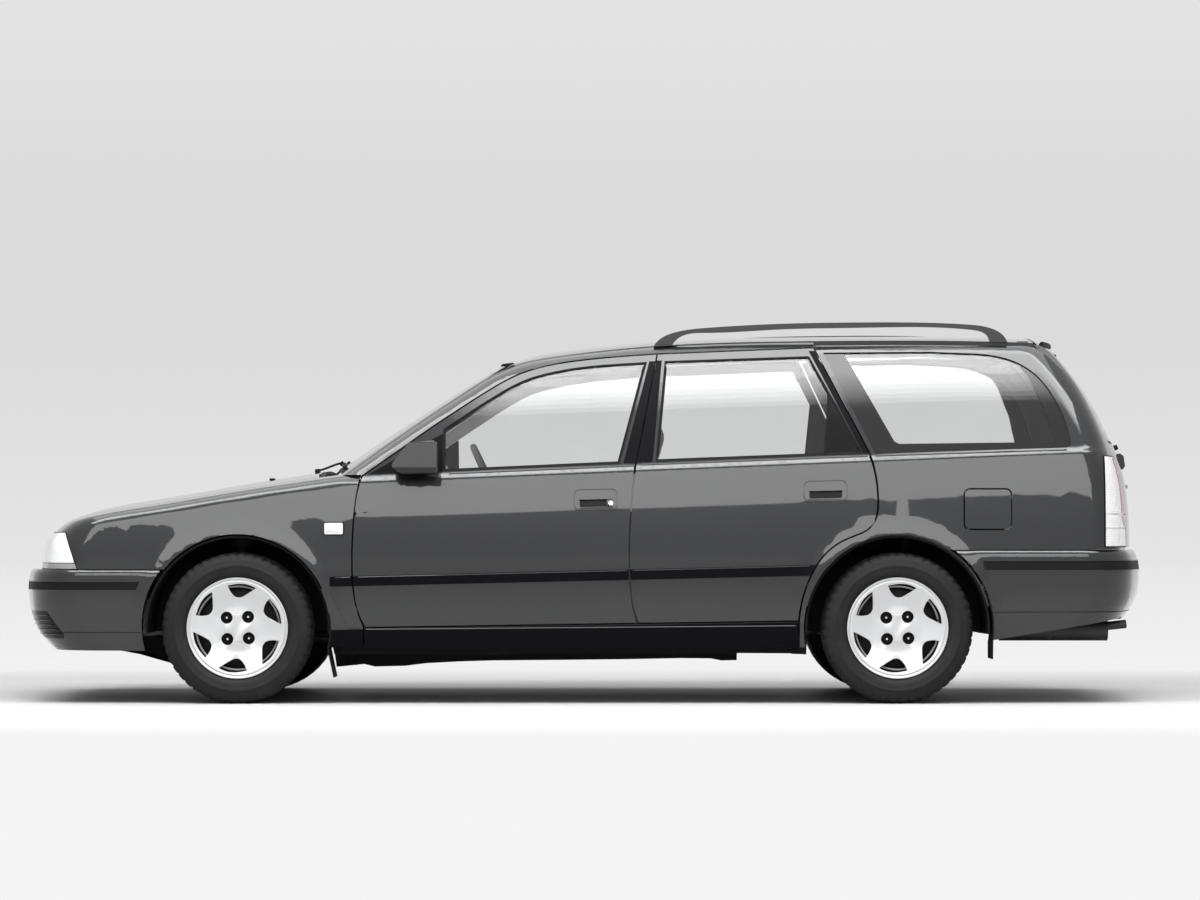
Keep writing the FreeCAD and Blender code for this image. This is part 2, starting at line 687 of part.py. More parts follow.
wing_outline = [(-855, 1000), (-862, 878)]
wing = slab(front_face, FRONT_IN, 0, PANEL).common(
    region([[(-862, 1000), (-862, 888)], [(-862, 888)] + shifted(DOOR_LEAD[1:], -SHUT_GAP),
            [(DOOR_LEAD[-1][0] - SHUT_GAP, DOOR_LEAD[-1][1]), (-848, 217)], [(-848, 217), (-1000, 217)],
            [(-1000, 217), (-1500, BUMPER_TOP_Z + 0.6)],
            [(-1500, BUMPER_TOP_Z + 0.6), (-2300, BUMPER_TOP_Z + 0.6)],
            [(-2300, BUMPER_TOP_Z + 0.6), (-2300, 1000)], [(-2300, 1000), (-862, 1000)]]))
wing = wing.cut(front_arch).cut(bonnet_room).cut(lamp_room).cut(block(-1080, -800, -678.5, 300, 700, 1100))
wing_strip = strip_band.common(polygon([(-965, 400), (-850, 400), (-850, 600), (-965, 600)])).cut(
    region(both_doors_spans, grow=SHUT_GAP)).cut(arch(FRONT_AXLE_X, ARCH_R + 6))
marker = slab(side_face, Y_IN, -5, 1).common(rounded_polygon([(-999, 654), (-928, 654), (-928, 698),
                                                              (-999, 698)], 5))
wing_left = wing.fuse([wing_strip, marker]).removeSplitter()
nodes["wing_left"] = wing_left

lamp = slab(front_face, FRONT_IN, 0, 46).common(polygon(lamp_side)).common(
    block(-2400, -1000, -900, LAMP_INNER_Y, 500, 700))
nodes["headlamps"] = both(lamp)
grille_half = slab(front_face, FRONT_IN, 0, 34).common(
    block(-2400, -1500, LAMP_INNER_Y + GRILLE_GAP, 0, LAMP_Z[0], LAMP_Z[1]))
SLOT_H = 12.0
for i in range(5):
    slot_z = LAMP_Z[0] + 16 + i * 24
    grille_half = grille_half.cut(block(-2400, -1900, LAMP_INNER_Y + 16, -5, slot_z, slot_z + SLOT_H))
nodes["grille"] = across(grille_half)

bonnet_half = slab(hood_face, HOOD_IN, 0, 24).common(bonnet_prism).common(
    block(-2400, -900, -900, 0, LAMP_Z[1] + 2.5, 1000))
ARM_Y = 300.0
bonnet_arm = block(BONNET_AXIS[0] - 125, BONNET_AXIS[0], -ARM_Y - 5, -ARM_Y + 5, 866, 880)
bonnet_arm = bonnet_arm.fuse(rod((BONNET_AXIS[0], -ARM_Y - 5, BONNET_AXIS[1]),
                                 (BONNET_AXIS[0], -ARM_Y + 5, BONNET_AXIS[1]), 10))
bonnet_arm = bonnet_arm.cut(rod((BONNET_AXIS[0], -ARM_Y - 20, BONNET_AXIS[1]),
                                (BONNET_AXIS[0], -ARM_Y + 20, BONNET_AXIS[1]), HINGE_PIN_R + RUNNING_FIT))
bonnet_half = bonnet_half.fuse(bonnet_arm)
nodes["bonnet"] = across(bonnet_half)

scuttle_spans = [[(-1021, -678), (-1031, -520), (-1046, -280), (-1053, 0), (-1046, 280), (-1031, 520), (-1021, 678)],
                 [(-1021, 678), (-960, 678)],
                 [(-960, 678), (-986, 340), (-993, 0), (-986, -340), (-960, -678)],
                 [(-960, -678), (-1021, -678)]]
scuttle = slab(hood_face, HOOD_IN, 0, 20).common(region(scuttle_spans, plane="xy", low=600, high=FAR))
for y in (-ARM_Y, ARM_Y):
    scuttle = scuttle.cut(block(-1070, -970, y - 11, y + 11, 800, 1000))
trough = block(-1018, -960.5, -640, 640, 840, 848)
for y in (-634, -320, -280, 280, 320, 634):
    trough = trough.fuse(block(-1045 + 0.04 * abs(y), -992, y - 4, y + 4, 848, 898 - 30 * (y / 650) ** 2))
scuttle = scuttle.fuse(trough)
screen = slab(screen_face, (0.54, 0, -0.84), GLASS_RECESS, GLASS_RECESS + GLASS).common(
    region(screen_spans, plane="yz", low=-FAR, high=0.0, grow=-SEAT_FIT))
nodes["windscreen"] = screen

# Roof, quarter panels, tail lamps, tailgate

GATE_TOP_X = 1774.0
GATE_TOP_GAP = 11.0
GATE_AXIS = (1814.0, 1420.0)
GATE_HINGE_Y = (70.0, 110.0)
roof = slab(roof_face, ROOF_IN, 0, 18).common(
    block(-900, GATE_TOP_X - GATE_TOP_GAP, -DITCH_Y + SEAT_FIT, DITCH_Y - SEAT_FIT, 1200, 1600))
roof = roof.cut(screen_opening)
header = block(1700, 1745, -530, 530, 1350, 1412)
roof = roof.fuse(header)
for sign in (-1, 1):
    y0, y1 = sorted((sign * GATE_HINGE_Y[0], sign * GATE_HINGE_Y[1]))
    arm = block(1740, GATE_AXIS[0] + 4, y0 + 6, y1 - 6, 1352, 1364)
    arm = arm.fuse(block(GATE_AXIS[0] - 4, GATE_AXIS[0] + 4, y0 + 6, y1 - 6, 1352, GATE_AXIS[1]))
    arm = arm.fuse(rod((GATE_AXIS[0], y0 + 6, GATE_AXIS[1]), (GATE_AXIS[0], y1 - 6, GATE_AXIS[1]), 4))
    arm = arm.fuse(rod((GATE_AXIS[0], y0 - 10, GATE_AXIS[1]), (GATE_AXIS[0], y1 + 10, GATE_AXIS[1]), 3))
    roof = roof.fuse(arm)
nodes["roof_panel"] = roof.removeSplitter()

GATE_OUTLINE = [(-560, REAR_BUMPER_TOP_Z + 9), (-560, 935), (-622, 978), (-546, 1470), (546, 1470),
                (622, 978), (560, 935), (560, REAR_BUMPER_TOP_Z + 9)]
GATE_ROOM = [(-566, 500), (-566, 937), (-628, 980), (-552, 1480), (552, 1480), (628, 980), (566, 937), (566, 500)]
GATE_WINDOW = [(-572, 1012), (-512, 1366), (512, 1366), (572, 1012)]
gate_room = polygon(GATE_ROOM, plane="yz", low=1500, high=FAR).cut(
    block(1000, GATE_TOP_X - 3, -700, 700, 1200, 1600))
gate = slab(gate_face, GATE_IN, 0, 50).common(polygon(GATE_OUTLINE, plane="yz", low=1500, high=FAR))
gate = gate.common(block(GATE_TOP_X, 2400, -900, 900, 400, 1600))
gate = gate.cut(rounded_polygon(GATE_WINDOW, 45, plane="yz", low=1500, high=FAR))
edge_low = Vector(tail_line(985) - 622 ** 2 / 4400, -621, 985)
edge_high = Vector(tail_line(1400) - 557 ** 2 / 4400, -557, 1400)
side_cut = wedge(edge_low, edge_high, (-0.75, 0.16, -0.66), (0, -80, 0))
gate = gate.cut(side_cut).cut(mirrored(side_cut))
for sign in (-1, 1):
    y0, y1 = sorted((sign * GATE_HINGE_Y[0], sign * GATE_HINGE_Y[1]))
    room = rod((GATE_AXIS[0], y0, GATE_AXIS[1]), (GATE_AXIS[0], y1, GATE_AXIS[1]), 64)
    room = room.common(slab(gate_face, GATE_IN, 2.5, 120))
    bore = rod((GATE_AXIS[0], y0 - 11, GATE_AXIS[1]), (GATE_AXIS[0], y1 + 11, GATE_AXIS[1]), 3 + RUNNING_FIT)
    gate = gate.cut(room).cut(bore)
PLATE = (330.0, 165.0)
plate_room = block(2000, 2300, -PLATE[0] / 2 - 12, PLATE[0] / 2 + 12, 640, 640 + PLATE[1] + 24)
gate = gate.cut(slab(gate_face, GATE_IN, -2, 14).common(plate_room))
PLATE_Z = 734.5
PLATE_PAD_X = 2176.0
PLATE_SCREW_SPACING = 210.0
pad = block(PLATE_PAD_X - 20, PLATE_PAD_X, -PLATE[0] / 2, PLATE[0] / 2, PLATE_Z - PLATE[1] / 2, PLATE_Z + PLATE[1] / 2)
gate = gate.fuse(pad)
for y in (-PLATE_SCREW_SPACING / 2, PLATE_SCREW_SPACING / 2):
    gate = gate.cut(rod((PLATE_PAD_X - 26, y, PLATE_Z), (PLATE_PAD_X + 10, y, PLATE_Z), 3))
gate = gate.removeSplitter()
nodes["tailgate"] = gate
nodes["tailgate_glass"] = slab(gate_face, GATE_IN, GLASS_RECESS, GLASS_RECESS + GLASS).common(
    rounded_polygon([(-572 + 0.3, 1012.3), (-512 + 0.3, 1365.7), (512 - 0.3, 1365.7), (572 - 0.3, 1012.3)],
                    45, plane="yz", low=1500, high=FAR))

TAIL_LAMP_X = 2019.0
TAIL_LAMP_Z = (606.0, 958.0)
tail_lamp_room = block(TAIL_LAMP_X, 2400, -900, 0, TAIL_LAMP_Z[0], TAIL_LAMP_Z[1])
FLAP = [(1473, 676), (1651, 676), (1651, 827), (1473, 827)]
FLAP_ROOM = [(1467, 670), (1657, 670), (1657, 833), (1467, 833)]
quarter_layer = slab(quarter_face, QUARTER_IN, 0, 26)
quarter = quarter_layer.common(
    region([[(835.5, 217), (835.5, 480)], [(835.5, 480), (900.5, 1000)], [(900.5, 1000), (900.5, 1500)],
            [(900.5, 1500), (2300, 1500)], [(2300, 1500), (2300, REAR_BUMPER_TOP_Z + 0.6)],
            [(2300, REAR_BUMPER_TOP_Z + 0.6), (1400, REAR_BUMPER_TOP_Z + 0.6)],
            [(1400, REAR_BUMPER_TOP_Z + 0.6), (1213, 217)], [(1213, 217), (835.5, 217)]], high=-300.0))
quarter = quarter.cut(rear_arch).cut(region(both_doors_spans, grow=SHUT_GAP))
quarter = quarter.cut(block(800, GATE_TOP_X - 2, -DITCH_Y, 0, 1300, 1600))
quarter = quarter.cut(gate_room).cut(tail_lamp_room).cut(region(quarter_window_spans))
flap_hole = rounded_polygon(FLAP_ROOM, 26, low=-FAR, high=-300)
housing = slab(quarter_face, QUARTER_IN, 6, 100).common(
    rounded_polygon([(1459, 662), (1665, 662), (1665, 841), (1459, 841)], 30, high=-300))
housing = housing.cut(slab(quarter_face, QUARTER_IN, 0, 90).common(flap_hole))
nodes["quarter_panel_right"] = mirrored(quarter)
quarter = quarter.cut(flap_hole).fuse(housing)
FLAP_AXIS = (1486.0, -801.0, 752.0)
FLAP_LEAN = 0.059
FLAP_PIN_R = 1.8


def flap_rod(down, up, radius):
    """A rod along the fuel flap's hinge line, which leans in with the panel."""
    x, y, z = FLAP_AXIS
    return rod((x, y - FLAP_LEAN * down, z - down), (x, y + FLAP_LEAN * up, z + up), radius)


flap_pin = flap_rod(88, 87, FLAP_PIN_R)
flap_bore = flap_rod(150, 150, FLAP_PIN_R + RUNNING_FIT)
filler = rod((1575, -775, 748), (1575, -725, 748), 32)
quarter_left = quarter.fuse([flap_pin, filler]).removeSplitter()
nodes["quarter_panel_left"] = quarter_left
nodes["fuel_flap"] = slab(quarter_face, QUARTER_IN, 0, 12).common(
    rounded_polygon(FLAP, 20, high=-300)).cut(flap_bore)
nodes["quarter_glass"] = both(slab(quarter_face, QUARTER_IN, 8, 14).common(
    region(quarter_window_spans, high=-300.0, grow=-SEAT_FIT)))
lamp_tail = slab(quarter_face, QUARTER_IN, 0, 40).common(
    block(TAIL_LAMP_X + 0.5, 2400, -900, -300, TAIL_LAMP_Z[0] + 0.5, TAIL_LAMP_Z[1] - 0.5)).cut(gate_room)
nodes["tail_lamps"] = both(lamp_tail)

# Bumpers

front_bumper_face = front_bumper_skin()
rear_bumper_face = rear_bumper_skin()
BUMPER_DEPTH = 52.0
bumper = slab(front_bumper_face, FRONT_BUMPER_IN, 0, BUMPER_DEPTH).common(
    block(-2400, -1600, -900, 0, 203, BUMPER_TOP_Z)).cut(arch(FRONT_AXLE_X, ARCH_R + 9))
INTAKE = [(-430, 262), (-430, 352), (0, 352), (0, 262)]
bumper = bumper.cut(polygon(INTAKE, plane="yz", low=-FAR, high=-1900))
nodes["front_bumper"] = across(bumper)
back_bumper = slab(rear_bumper_face, REAR_BUMPER_IN, 0, BUMPER_DEPTH).common(
    polygon([(2400, 322), (2063, 322), (1990, 310), (1592, 246), (1400, 246), (1400, REAR_BUMPER_TOP_Z),
             (2400, REAR_BUMPER_TOP_Z)]))
back_bumper = back_bumper.cut(arch(REAR_AXLE_X, ARCH_R + 9))
nodes["rear_bumper"] = across(back_bumper)

# Roof rails, wipers, mud flaps

roof_rail = region([[(268, 1380), (300, 1420), (365, 1447), (487, 1463), (707, 1476), (1093, 1484), (1499, 1476),
                     (1588, 1463), (1635, 1440), (1662, 1395)],
                    [(1662, 1395), (1592, 1395)],
                    [(1592, 1395), (1578, 1436), (1510, 1457), (1093, 1464), (761, 1457), (487, 1444),
                     (377, 1427), (338, 1380)],
                    [(338, 1380), (268, 1380)]], low=-578, high=-548)
roof_rail = roof_rail.cut(slab(cant_face, CANT_IN, -0.4, 90)).cut(slab(roof_face, ROOF_IN, -0.3, 40))
nodes["roof_rails"] = both(roof_rail)

FLAP_T = 5.2
FLAP_Y = (-822.0, -652.0)


def mud_flap(axle_x, radius, top_z, bend_z, foot):
    """A curved plate behind a wheel, on the arch's edge, with a straight lower end down to foot."""
    outer = arch(axle_x, radius, low=FLAP_Y[0], high=FLAP_Y[1])
    inner = arch(axle_x, radius - FLAP_T, low=FLAP_Y[0], high=FLAP_Y[1])
    curved = outer.cut(inner).common(block(axle_x + 200, axle_x + 400, -900, 0, bend_z, top_z))
    bend_x = axle_x + math.sqrt(radius ** 2 - (TYRE_R - bend_z) ** 2)
    lower = polygon([(bend_x - FLAP_T - 1, bend_z + 3), (bend_x, bend_z + 1), foot, (foot[0] - FLAP_T, foot[1])],
                    low=FLAP_Y[0], high=FLAP_Y[1])
    return curved.fuse(lower).removeSplitter()


flaps = [mud_flap(FRONT_AXLE_X, ARCH_R - 0.3, 440, 212, (-960, 102)),
         mud_flap(REAR_AXLE_X, ARCH_R + 8.7, 430, 238, (1580, 173))]
nodes["mud_flaps"] = Part.makeCompound(flaps + [mirrored(flap) for flap in flaps])

# Wheels

def turned(points, centre):
    """A solid of revolution about an axle from an outline of (radius, offset outwards) points."""
    corners = [Vector(r, -w, 0) for r, w in points]
    ring = Part.Face(Part.makePolygon(corners + corners[:1])).revolve(Vector(0, 0, 0), Vector(0, 1, 0), 360)
    ring.translate(Vector(*centre))
    return ring


BEAD_R = 179.0
TYRE_OUTLINE = [(BEAD_R, -69), (196, -69), (203, -82), (216, -90), (232, -92.5), (250, -91), (268, -86), (280, -79),
                (288, -69), (TYRE_R, -56), (TYRE_R, 56), (288, 69), (280, 79), (268, 86), (250, 91),
                (232, 92.5), (216, 90), (203, 82), (196, 69), (BEAD_R, 69)]
RIM_OUTLINE = [(0, 34), (0, 48), (62, 48), (74, 44), (110, 52), (158, 66), (172, 70), (178, 77), (RIM_R, 77),
               (RIM_R, 69.3), (178.7, 69.3), (178.7, -69.3), (RIM_R, -69.3), (RIM_R, -77), (176, -77), (167, -66),
               (167, 52), (150, 52), (108, 40), (74, 34)]


def wheel(axle_x):
    centre = (axle_x, WHEEL_Y, TYRE_R)
    rim = turned(RIM_OUTLINE, centre)
    y_out, y_in = WHEEL_Y - 90, WHEEL_Y + 60
    for i in range(6):
        window = outline([[(-35, 158), (0, 164), (35, 162), (65, 151)], [(65, 151), (36, 130), (17, 120)],
                          [(17, 120), (4, 118), (-9, 121)], [(-9, 121), (-22, 133), (-35, 158)]], level=y_out)
        window.rotate(Vector(0, 0, 0), Vector(0, 1, 0), 60 * i)
        window.translate(Vector(axle_x, 0, TYRE_R))
        rim = rim.cut(Part.Face(window).extrude(Vector(0, y_in - y_out, 0)))
    for i in range(4):
        angle = math.radians(45 + 90 * i)
        x = axle_x + STUD_CIRCLE_R * math.cos(angle)
        z = TYRE_R + STUD_CIRCLE_R * math.sin(angle)
        rim = rim.cut(rod((x, WHEEL_Y - 90, z), (x, WHEEL_Y - 38, z), 15))
        nut = Part.Face(Part.makePolygon([Vector(x + 10 * math.cos(math.radians(60 * k)), WHEEL_Y - 46,
                                                 z + 10 * math.sin(math.radians(60 * k))) for k in range(7)]))
        rim = rim.fuse(nut.extrude(Vector(0, 10, 0)))
    hub = rod((axle_x, WHEEL_Y - 36, TYRE_R), (axle_x, WHEEL_Y + 34, TYRE_R), 68)
    brake = rod((axle_x, WHEEL_Y + 14, TYRE_R), (axle_x, WHEEL_Y + 34, TYRE_R), 125)
    bore = rod((axle_x, WHEEL_Y - 24, TYRE_R), (axle_x, WHEEL_Y + 60, TYRE_R), SPINDLE_R + RUNNING_FIT)
    return rim.fuse(hub).fuse(brake).cut(bore).removeSplitter()


for end, axle_x in (("front", FRONT_AXLE_X), ("rear", REAR_AXLE_X)):
    rubber = turned(TYRE_OUTLINE, (axle_x, WHEEL_Y, TYRE_R))
    nodes[f"tyre_{end}_left"] = rubber
    nodes[f"tyre_{end}_right"] = mirrored(rubber)
    rim = wheel(axle_x)
    nodes[f"wheel_{end}_left"] = rim
    nodes[f"wheel_{end}_right"] = mirrored(rim)

# Suspension and steering knuckles

KINGPIN_Y = WHEEL_Y + KINGPIN_INSET
knuckle = block(FRONT_AXLE_X - 32, FRONT_AXLE_X + 32, KINGPIN_Y - 24, KINGPIN_Y + 18, 212, 392)
knuckle = knuckle.fuse(rod((FRONT_AXLE_X, WHEEL_Y - 20, TYRE_R), (FRONT_AXLE_X, KINGPIN_Y, TYRE_R), SPINDLE_R))
for low, high in ((190, 246), (358, 400)):
    knuckle = knuckle.cut(rod((FRONT_AXLE_X, KINGPIN_Y, low), (FRONT_AXLE_X, KINGPIN_Y, high),
                              KINGPIN_R + RUNNING_FIT))
nodes["knuckle_left"] = knuckle.removeSplitter()

LINER_R = (349.0, 357.0)
front_cross = block(FRONT_AXLE_X - 45, FRONT_AXLE_X + 45, -440, 0, 186, 232)
front_arm = rod((FRONT_AXLE_X, -420, 205), (FRONT_AXLE_X, KINGPIN_Y, 192), 15)
ball = rod((FRONT_AXLE_X, KINGPIN_Y, 184), (FRONT_AXLE_X, KINGPIN_Y, 244), KINGPIN_R)
strut_pin = rod((FRONT_AXLE_X, KINGPIN_Y, 360), (FRONT_AXLE_X, KINGPIN_Y, 436), KINGPIN_R)
STRUT_INSET = 56.0
strut = rod((FRONT_AXLE_X, KINGPIN_Y + STRUT_INSET, 428), (FRONT_AXLE_X, KINGPIN_Y + STRUT_INSET + 8, 700), 24)
spring = rod((FRONT_AXLE_X, KINGPIN_Y + STRUT_INSET + 6, 605), (FRONT_AXLE_X, KINGPIN_Y + STRUT_INSET + 8, 700), 50)
strut_leg = block(FRONT_AXLE_X - 19, FRONT_AXLE_X + 19, KINGPIN_Y - 14, KINGPIN_Y + STRUT_INSET, 426, 444)
front_half = front_cross.fuse([front_arm, ball])
upper = strut_pin.fuse([strut, spring, strut_leg])
nodes["front_suspension"] = Part.makeCompound([across(front_half), upper, mirrored(upper)])

rear_half = rod((REAR_AXLE_X, WHEEL_Y + 62, TYRE_R), (REAR_AXLE_X, 0, TYRE_R), 34)
rear_half = rear_half.fuse([
    rod((REAR_AXLE_X, WHEEL_Y - 20, TYRE_R), (REAR_AXLE_X, WHEEL_Y + 70, TYRE_R), SPINDLE_R),
    rod((REAR_AXLE_X, WHEEL_Y + 40, TYRE_R), (REAR_AXLE_X, WHEEL_Y + 62, TYRE_R), 60),
    rod((REAR_AXLE_X, -470, 280), (900, -440, 282), 17),
    rod((REAR_AXLE_X + 10, -530, 300), (REAR_AXLE_X + 50, -522, 635), 24)])
nodes["rear_suspension"] = across(rear_half)

# Floor, engine bay and what hangs below

FLOOR_Z = 262.0
FLOOR_T = 10.0
floor_line = [(-960, 866), (-960, 420), (-800, FLOOR_Z), (820, FLOOR_Z), (930, 420), (2110, 420), (2110, 430),
              (924, 430), (814, FLOOR_Z + FLOOR_T), (-795, FLOOR_Z + FLOOR_T), (-950, 427), (-950, 866)]
floor_half = polygon(floor_line, low=-640, high=0)


def wheelhouse(axle_x, inner_y):
    shell = arch(axle_x, LINER_R[1], low=-806, high=inner_y).cut(arch(axle_x, LINER_R[0], low=-900, high=inner_y - 8))
    return shell.common(block(axle_x - 500, axle_x + 500, -900, 0, TYRE_R - 20, 900))


rear_house = wheelhouse(REAR_AXLE_X, -480).cut(rod((REAR_AXLE_X, -600, TYRE_R), (REAR_AXLE_X, -400, TYRE_R), 90))
floor_half = floor_half.cut(arch(REAR_AXLE_X, LINER_R[0], low=-900, high=-488)).fuse(rear_house)
seat_base = block(-380, 40, -540, -200, FLOOR_Z + FLOOR_T - 2, 380)
floor_half = floor_half.fuse(seat_base)
for x in (-500, 0):
    saddle = block(x - 8, x + 8, -84, 0, 236, FLOOR_Z + 2).cut(rod((x - 20, -60, 230), (x + 20, -60, 230), 19.3))
    floor_half = floor_half.fuse(saddle.common(block(x - 8, x + 8, -84, -36, 200, 300)))
floor_half = floor_half.fuse(block(1892, 1908, -438, -422, 318.2, 422))
rear_limit = polygon([(-1000, 0), (2110, 0), (2100, -350), (2060, -520), (1990, -640), (1900, -900), (-1000, -900)],
                     plane="xy", low=0, high=2000)
nodes["floor_pan"] = across(floor_half.common(rear_limit))

front_house = wheelhouse(FRONT_AXLE_X, -462).cut(
    block(FRONT_AXLE_X - 60, FRONT_AXLE_X + 60, -600, -400, 100, 300))
front_house = front_house.cut(rod((FRONT_AXLE_X, KINGPIN_Y + STRUT_INSET + 6, 600),
                                  (FRONT_AXLE_X, KINGPIN_Y + STRUT_INSET + 8, 700), 50.4))
side_rail = block(-2060, -960.5, -470, -420, 400, 470)
cradle_post = block(FRONT_AXLE_X - 45, FRONT_AXLE_X + 45, -440, -424, 232.4, 405)
support = block(-2065, -2035, -475, 0, 300, 640).cut(block(-2070, -2030, -480, -360, 480, 650))
support = support.cut(block(-2100, -2000, -330, -30, 340, 600))
nodes["front_structure"] = across(front_house.fuse([side_rail, support, cradle_post]))
nodes["engine_block"] = block(-1880, -1440, -330, 300, 250, 700)

pipe_path = [(-1439.5, -60, 262), (-1400, -60, 262), (-1300, -60, 261), (-1150, -60, 240), (-1000, -60, 231),
             (-500, -60, 230), (0, -60, 230), (600, -70, 230), (840, -150, 236), (950, -215, 296),
             (1080, -250, 370), (1330, -260, 376), (1500, -360, 300), (1600, -420, 278), (1660, -430, 276)]
pipe_curve = Part.BSplineCurve()
pipe_curve.interpolate([Vector(*p) for p in pipe_path])
pipe_start = Part.Wire(Part.makeCircle(19, Vector(*pipe_path[0]), pipe_curve.tangent(0)[0]))
pieces = [Part.Wire(pipe_curve.toShape()).makePipeShell([pipe_start], True, False)]
muffler = rod((1640, -430, 276), (2067, -430, 276), 42)
pieces += [muffler, rod((2050, -430, 290), (2142, -430, 300), 17)]
exhaust = pieces[0].fuse(pieces[1:])
nodes["exhaust"] = exhaust
nodes["fuel_tank"] = block(950, 1120, -160, 400, 250, 419.5)

# Cabin

def front_seat(y):
    cushion = polygon([(-420, 380.4), (60, 380.4), (90, 470), (60, 520), (-400, 540), (-440, 470)],
                      low=y - 245, high=y + 245)
    back = polygon([(60, 470), (150, 440), (330, 1060), (300, 1125), (245, 1110)], low=y - 200, high=y + 200)
    return cushion.fuse(back).removeSplitter()


nodes["front_seat_left"] = front_seat(-360)
nodes["front_seat_right"] = front_seat(360)
rear_cushion = polygon([(600, 272.4), (812, 272.4), (922, 430.4), (1040, 430.4), (1040, 520), (600, 560), (520, 500)],
                       low=-470, high=470)
rear_back = polygon([(900, 480), (1010, 440), (1150, 900), (1120, 950), (1060, 940)], low=-470, high=470)
nodes["rear_seat"] = rear_cushion.fuse(rear_back).removeSplitter()
dash = polygon([(-949.5, 560), (-949.5, 858), (-820, 878), (-700, 892), (-600, 870), (-575, 800), (-620, 700),
                (-760, 560)], low=-620, high=620)
WHEEL_CENTRE = Vector(-383, 370, 847)
COLUMN_WAY = Vector(0.906, 0, 0.423)
column_start = WHEEL_CENTRE - COLUMN_WAY * 330
column_end = WHEEL_CENTRE + COLUMN_WAY * 12
column = rod(column_start, WHEEL_CENTRE - COLUMN_WAY * 26, 26).fuse(rod(column_start, column_end, 8))
nodes["dashboard"] = dash.fuse(column).removeSplitter()
RIM_RING_R = 185.0
ring_wheel = Part.makeTorus(RIM_RING_R, 13, WHEEL_CENTRE, COLUMN_WAY)
boss = Part.makeCylinder(42, 40, WHEEL_CENTRE - COLUMN_WAY * 22, COLUMN_WAY)
side_way = Vector(0, 1, 0)
down_way = COLUMN_WAY.cross(side_way).normalize() * -1
spokes = [rod(WHEEL_CENTRE, WHEEL_CENTRE + way * RIM_RING_R, 11) for way in
          (side_way, side_way * -1, down_way if down_way.z < 0 else down_way * -1)]
steering = ring_wheel.fuse([boss] + spokes).cut(
    Part.makeCylinder(8 + RUNNING_FIT, 60, WHEEL_CENTRE - COLUMN_WAY * 40, COLUMN_WAY)).removeSplitter()
nodes["steering_wheel"] = steering

bracket = block(-985, -962, -ARM_Y - 18, -ARM_Y - 12, 848, 884).fuse(
    block(-985, -962, -ARM_Y + 12, -ARM_Y + 18, 848, 884))
bracket = bracket.fuse(rod((BONNET_AXIS[0], -ARM_Y - 18, BONNET_AXIS[1]),
                           (BONNET_AXIS[0], -ARM_Y + 18, BONNET_AXIS[1]), HINGE_PIN_R))
scuttle = scuttle.fuse([bracket, mirrored(bracket)]).removeSplitter()
nodes["scuttle"] = scuttle

for name in list(nodes):
    if name.endswith("_left") and name.replace("_left", "_right") not in nodes:
        nodes[name.replace("_left", "_right")] = mirrored(nodes[name])

os.makedirs("parts", exist_ok=True)
for name, shape in nodes.items():
    shape.exportStep(f"parts/{name}.step")
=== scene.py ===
import math

import bmesh
import bpy
from mathutils import Matrix, Vector
from mathutils.bvhtree import BVHTree


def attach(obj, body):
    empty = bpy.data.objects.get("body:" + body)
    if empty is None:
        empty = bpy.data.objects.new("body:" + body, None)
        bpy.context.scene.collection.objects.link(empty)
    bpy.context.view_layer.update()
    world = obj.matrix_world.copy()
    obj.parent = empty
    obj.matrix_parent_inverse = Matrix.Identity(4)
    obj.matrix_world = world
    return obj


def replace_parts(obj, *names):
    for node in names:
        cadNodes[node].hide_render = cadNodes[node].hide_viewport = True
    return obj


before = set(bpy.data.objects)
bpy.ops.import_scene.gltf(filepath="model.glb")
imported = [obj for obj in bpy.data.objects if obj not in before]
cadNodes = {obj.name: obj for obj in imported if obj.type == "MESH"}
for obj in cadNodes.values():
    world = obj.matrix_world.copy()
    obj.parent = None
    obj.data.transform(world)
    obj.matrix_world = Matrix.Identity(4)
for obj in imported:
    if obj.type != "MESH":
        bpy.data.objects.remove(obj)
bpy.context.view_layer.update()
sceneNow = bpy.context.scene
print("frame loaded:", len(cadNodes), "nodes")


# Camera, light and floor

shot = {
    "place": (0.0635, -16.83, 0.6707),
    "lens": 124.5,
    "shiftUp": 0.0667,
    "farthest": 200,
}
cameraData = bpy.data.cameras.new("camera")
cameraData.lens = shot["lens"]
cameraData.shift_y = shot["shiftUp"]
cameraData.clip_end = shot["farthest"]
camera = bpy.data.objects.new("camera", cameraData)
camera.location = shot["place"]
camera.rotation_euler = (math.radians(90), 0, 0)
sceneNow.collection.objects.link(camera)
sceneNow.camera = camera
sceneNow.view_settings.view_transform = "Standard"

studio = {
    "overhead": {"place": (0.0, 0.2, 5.2), "target": (0.0, 0.2, 0.0), "power": 330, "size": (9.0, 5.0)},
    "panel": {"place": (-0.5, -7.5, 3.56), "target": (-0.5, 0.0, 3.3), "power": 500, "size": (12.0, 3.4)},
    "eaveRadiance": 1.25,
    "eaveBack": -1.6,
    "eaveEdges": (-3.2, -3.2, -3.45, -3.6, -3.75, -3.9, -4.05),
    "eaveLength": 11.0,
    "eaveHeight": 5.15,
    "eaveDrop": 0.01,  # each eave lamp hangs this much lower than the last
    "worldStrength": 0.06,
    "horizonBright": 0.775,
    "backdropBright": 0.71,
    "zenithBright": 0.77,
    "floorSize": 60,
    "floorAlbedo": 0.52,
    # the floor's colour under the car is a painted shadow; the reach below says how far it spreads
    "floorShadowUnder": 0.16,
    "floorNear": 0.915,
    "floorGain": 2.34,
    "paintedShadowReach": (0.0, 0.30),
    "litReach": (0.5, 2.6),
}


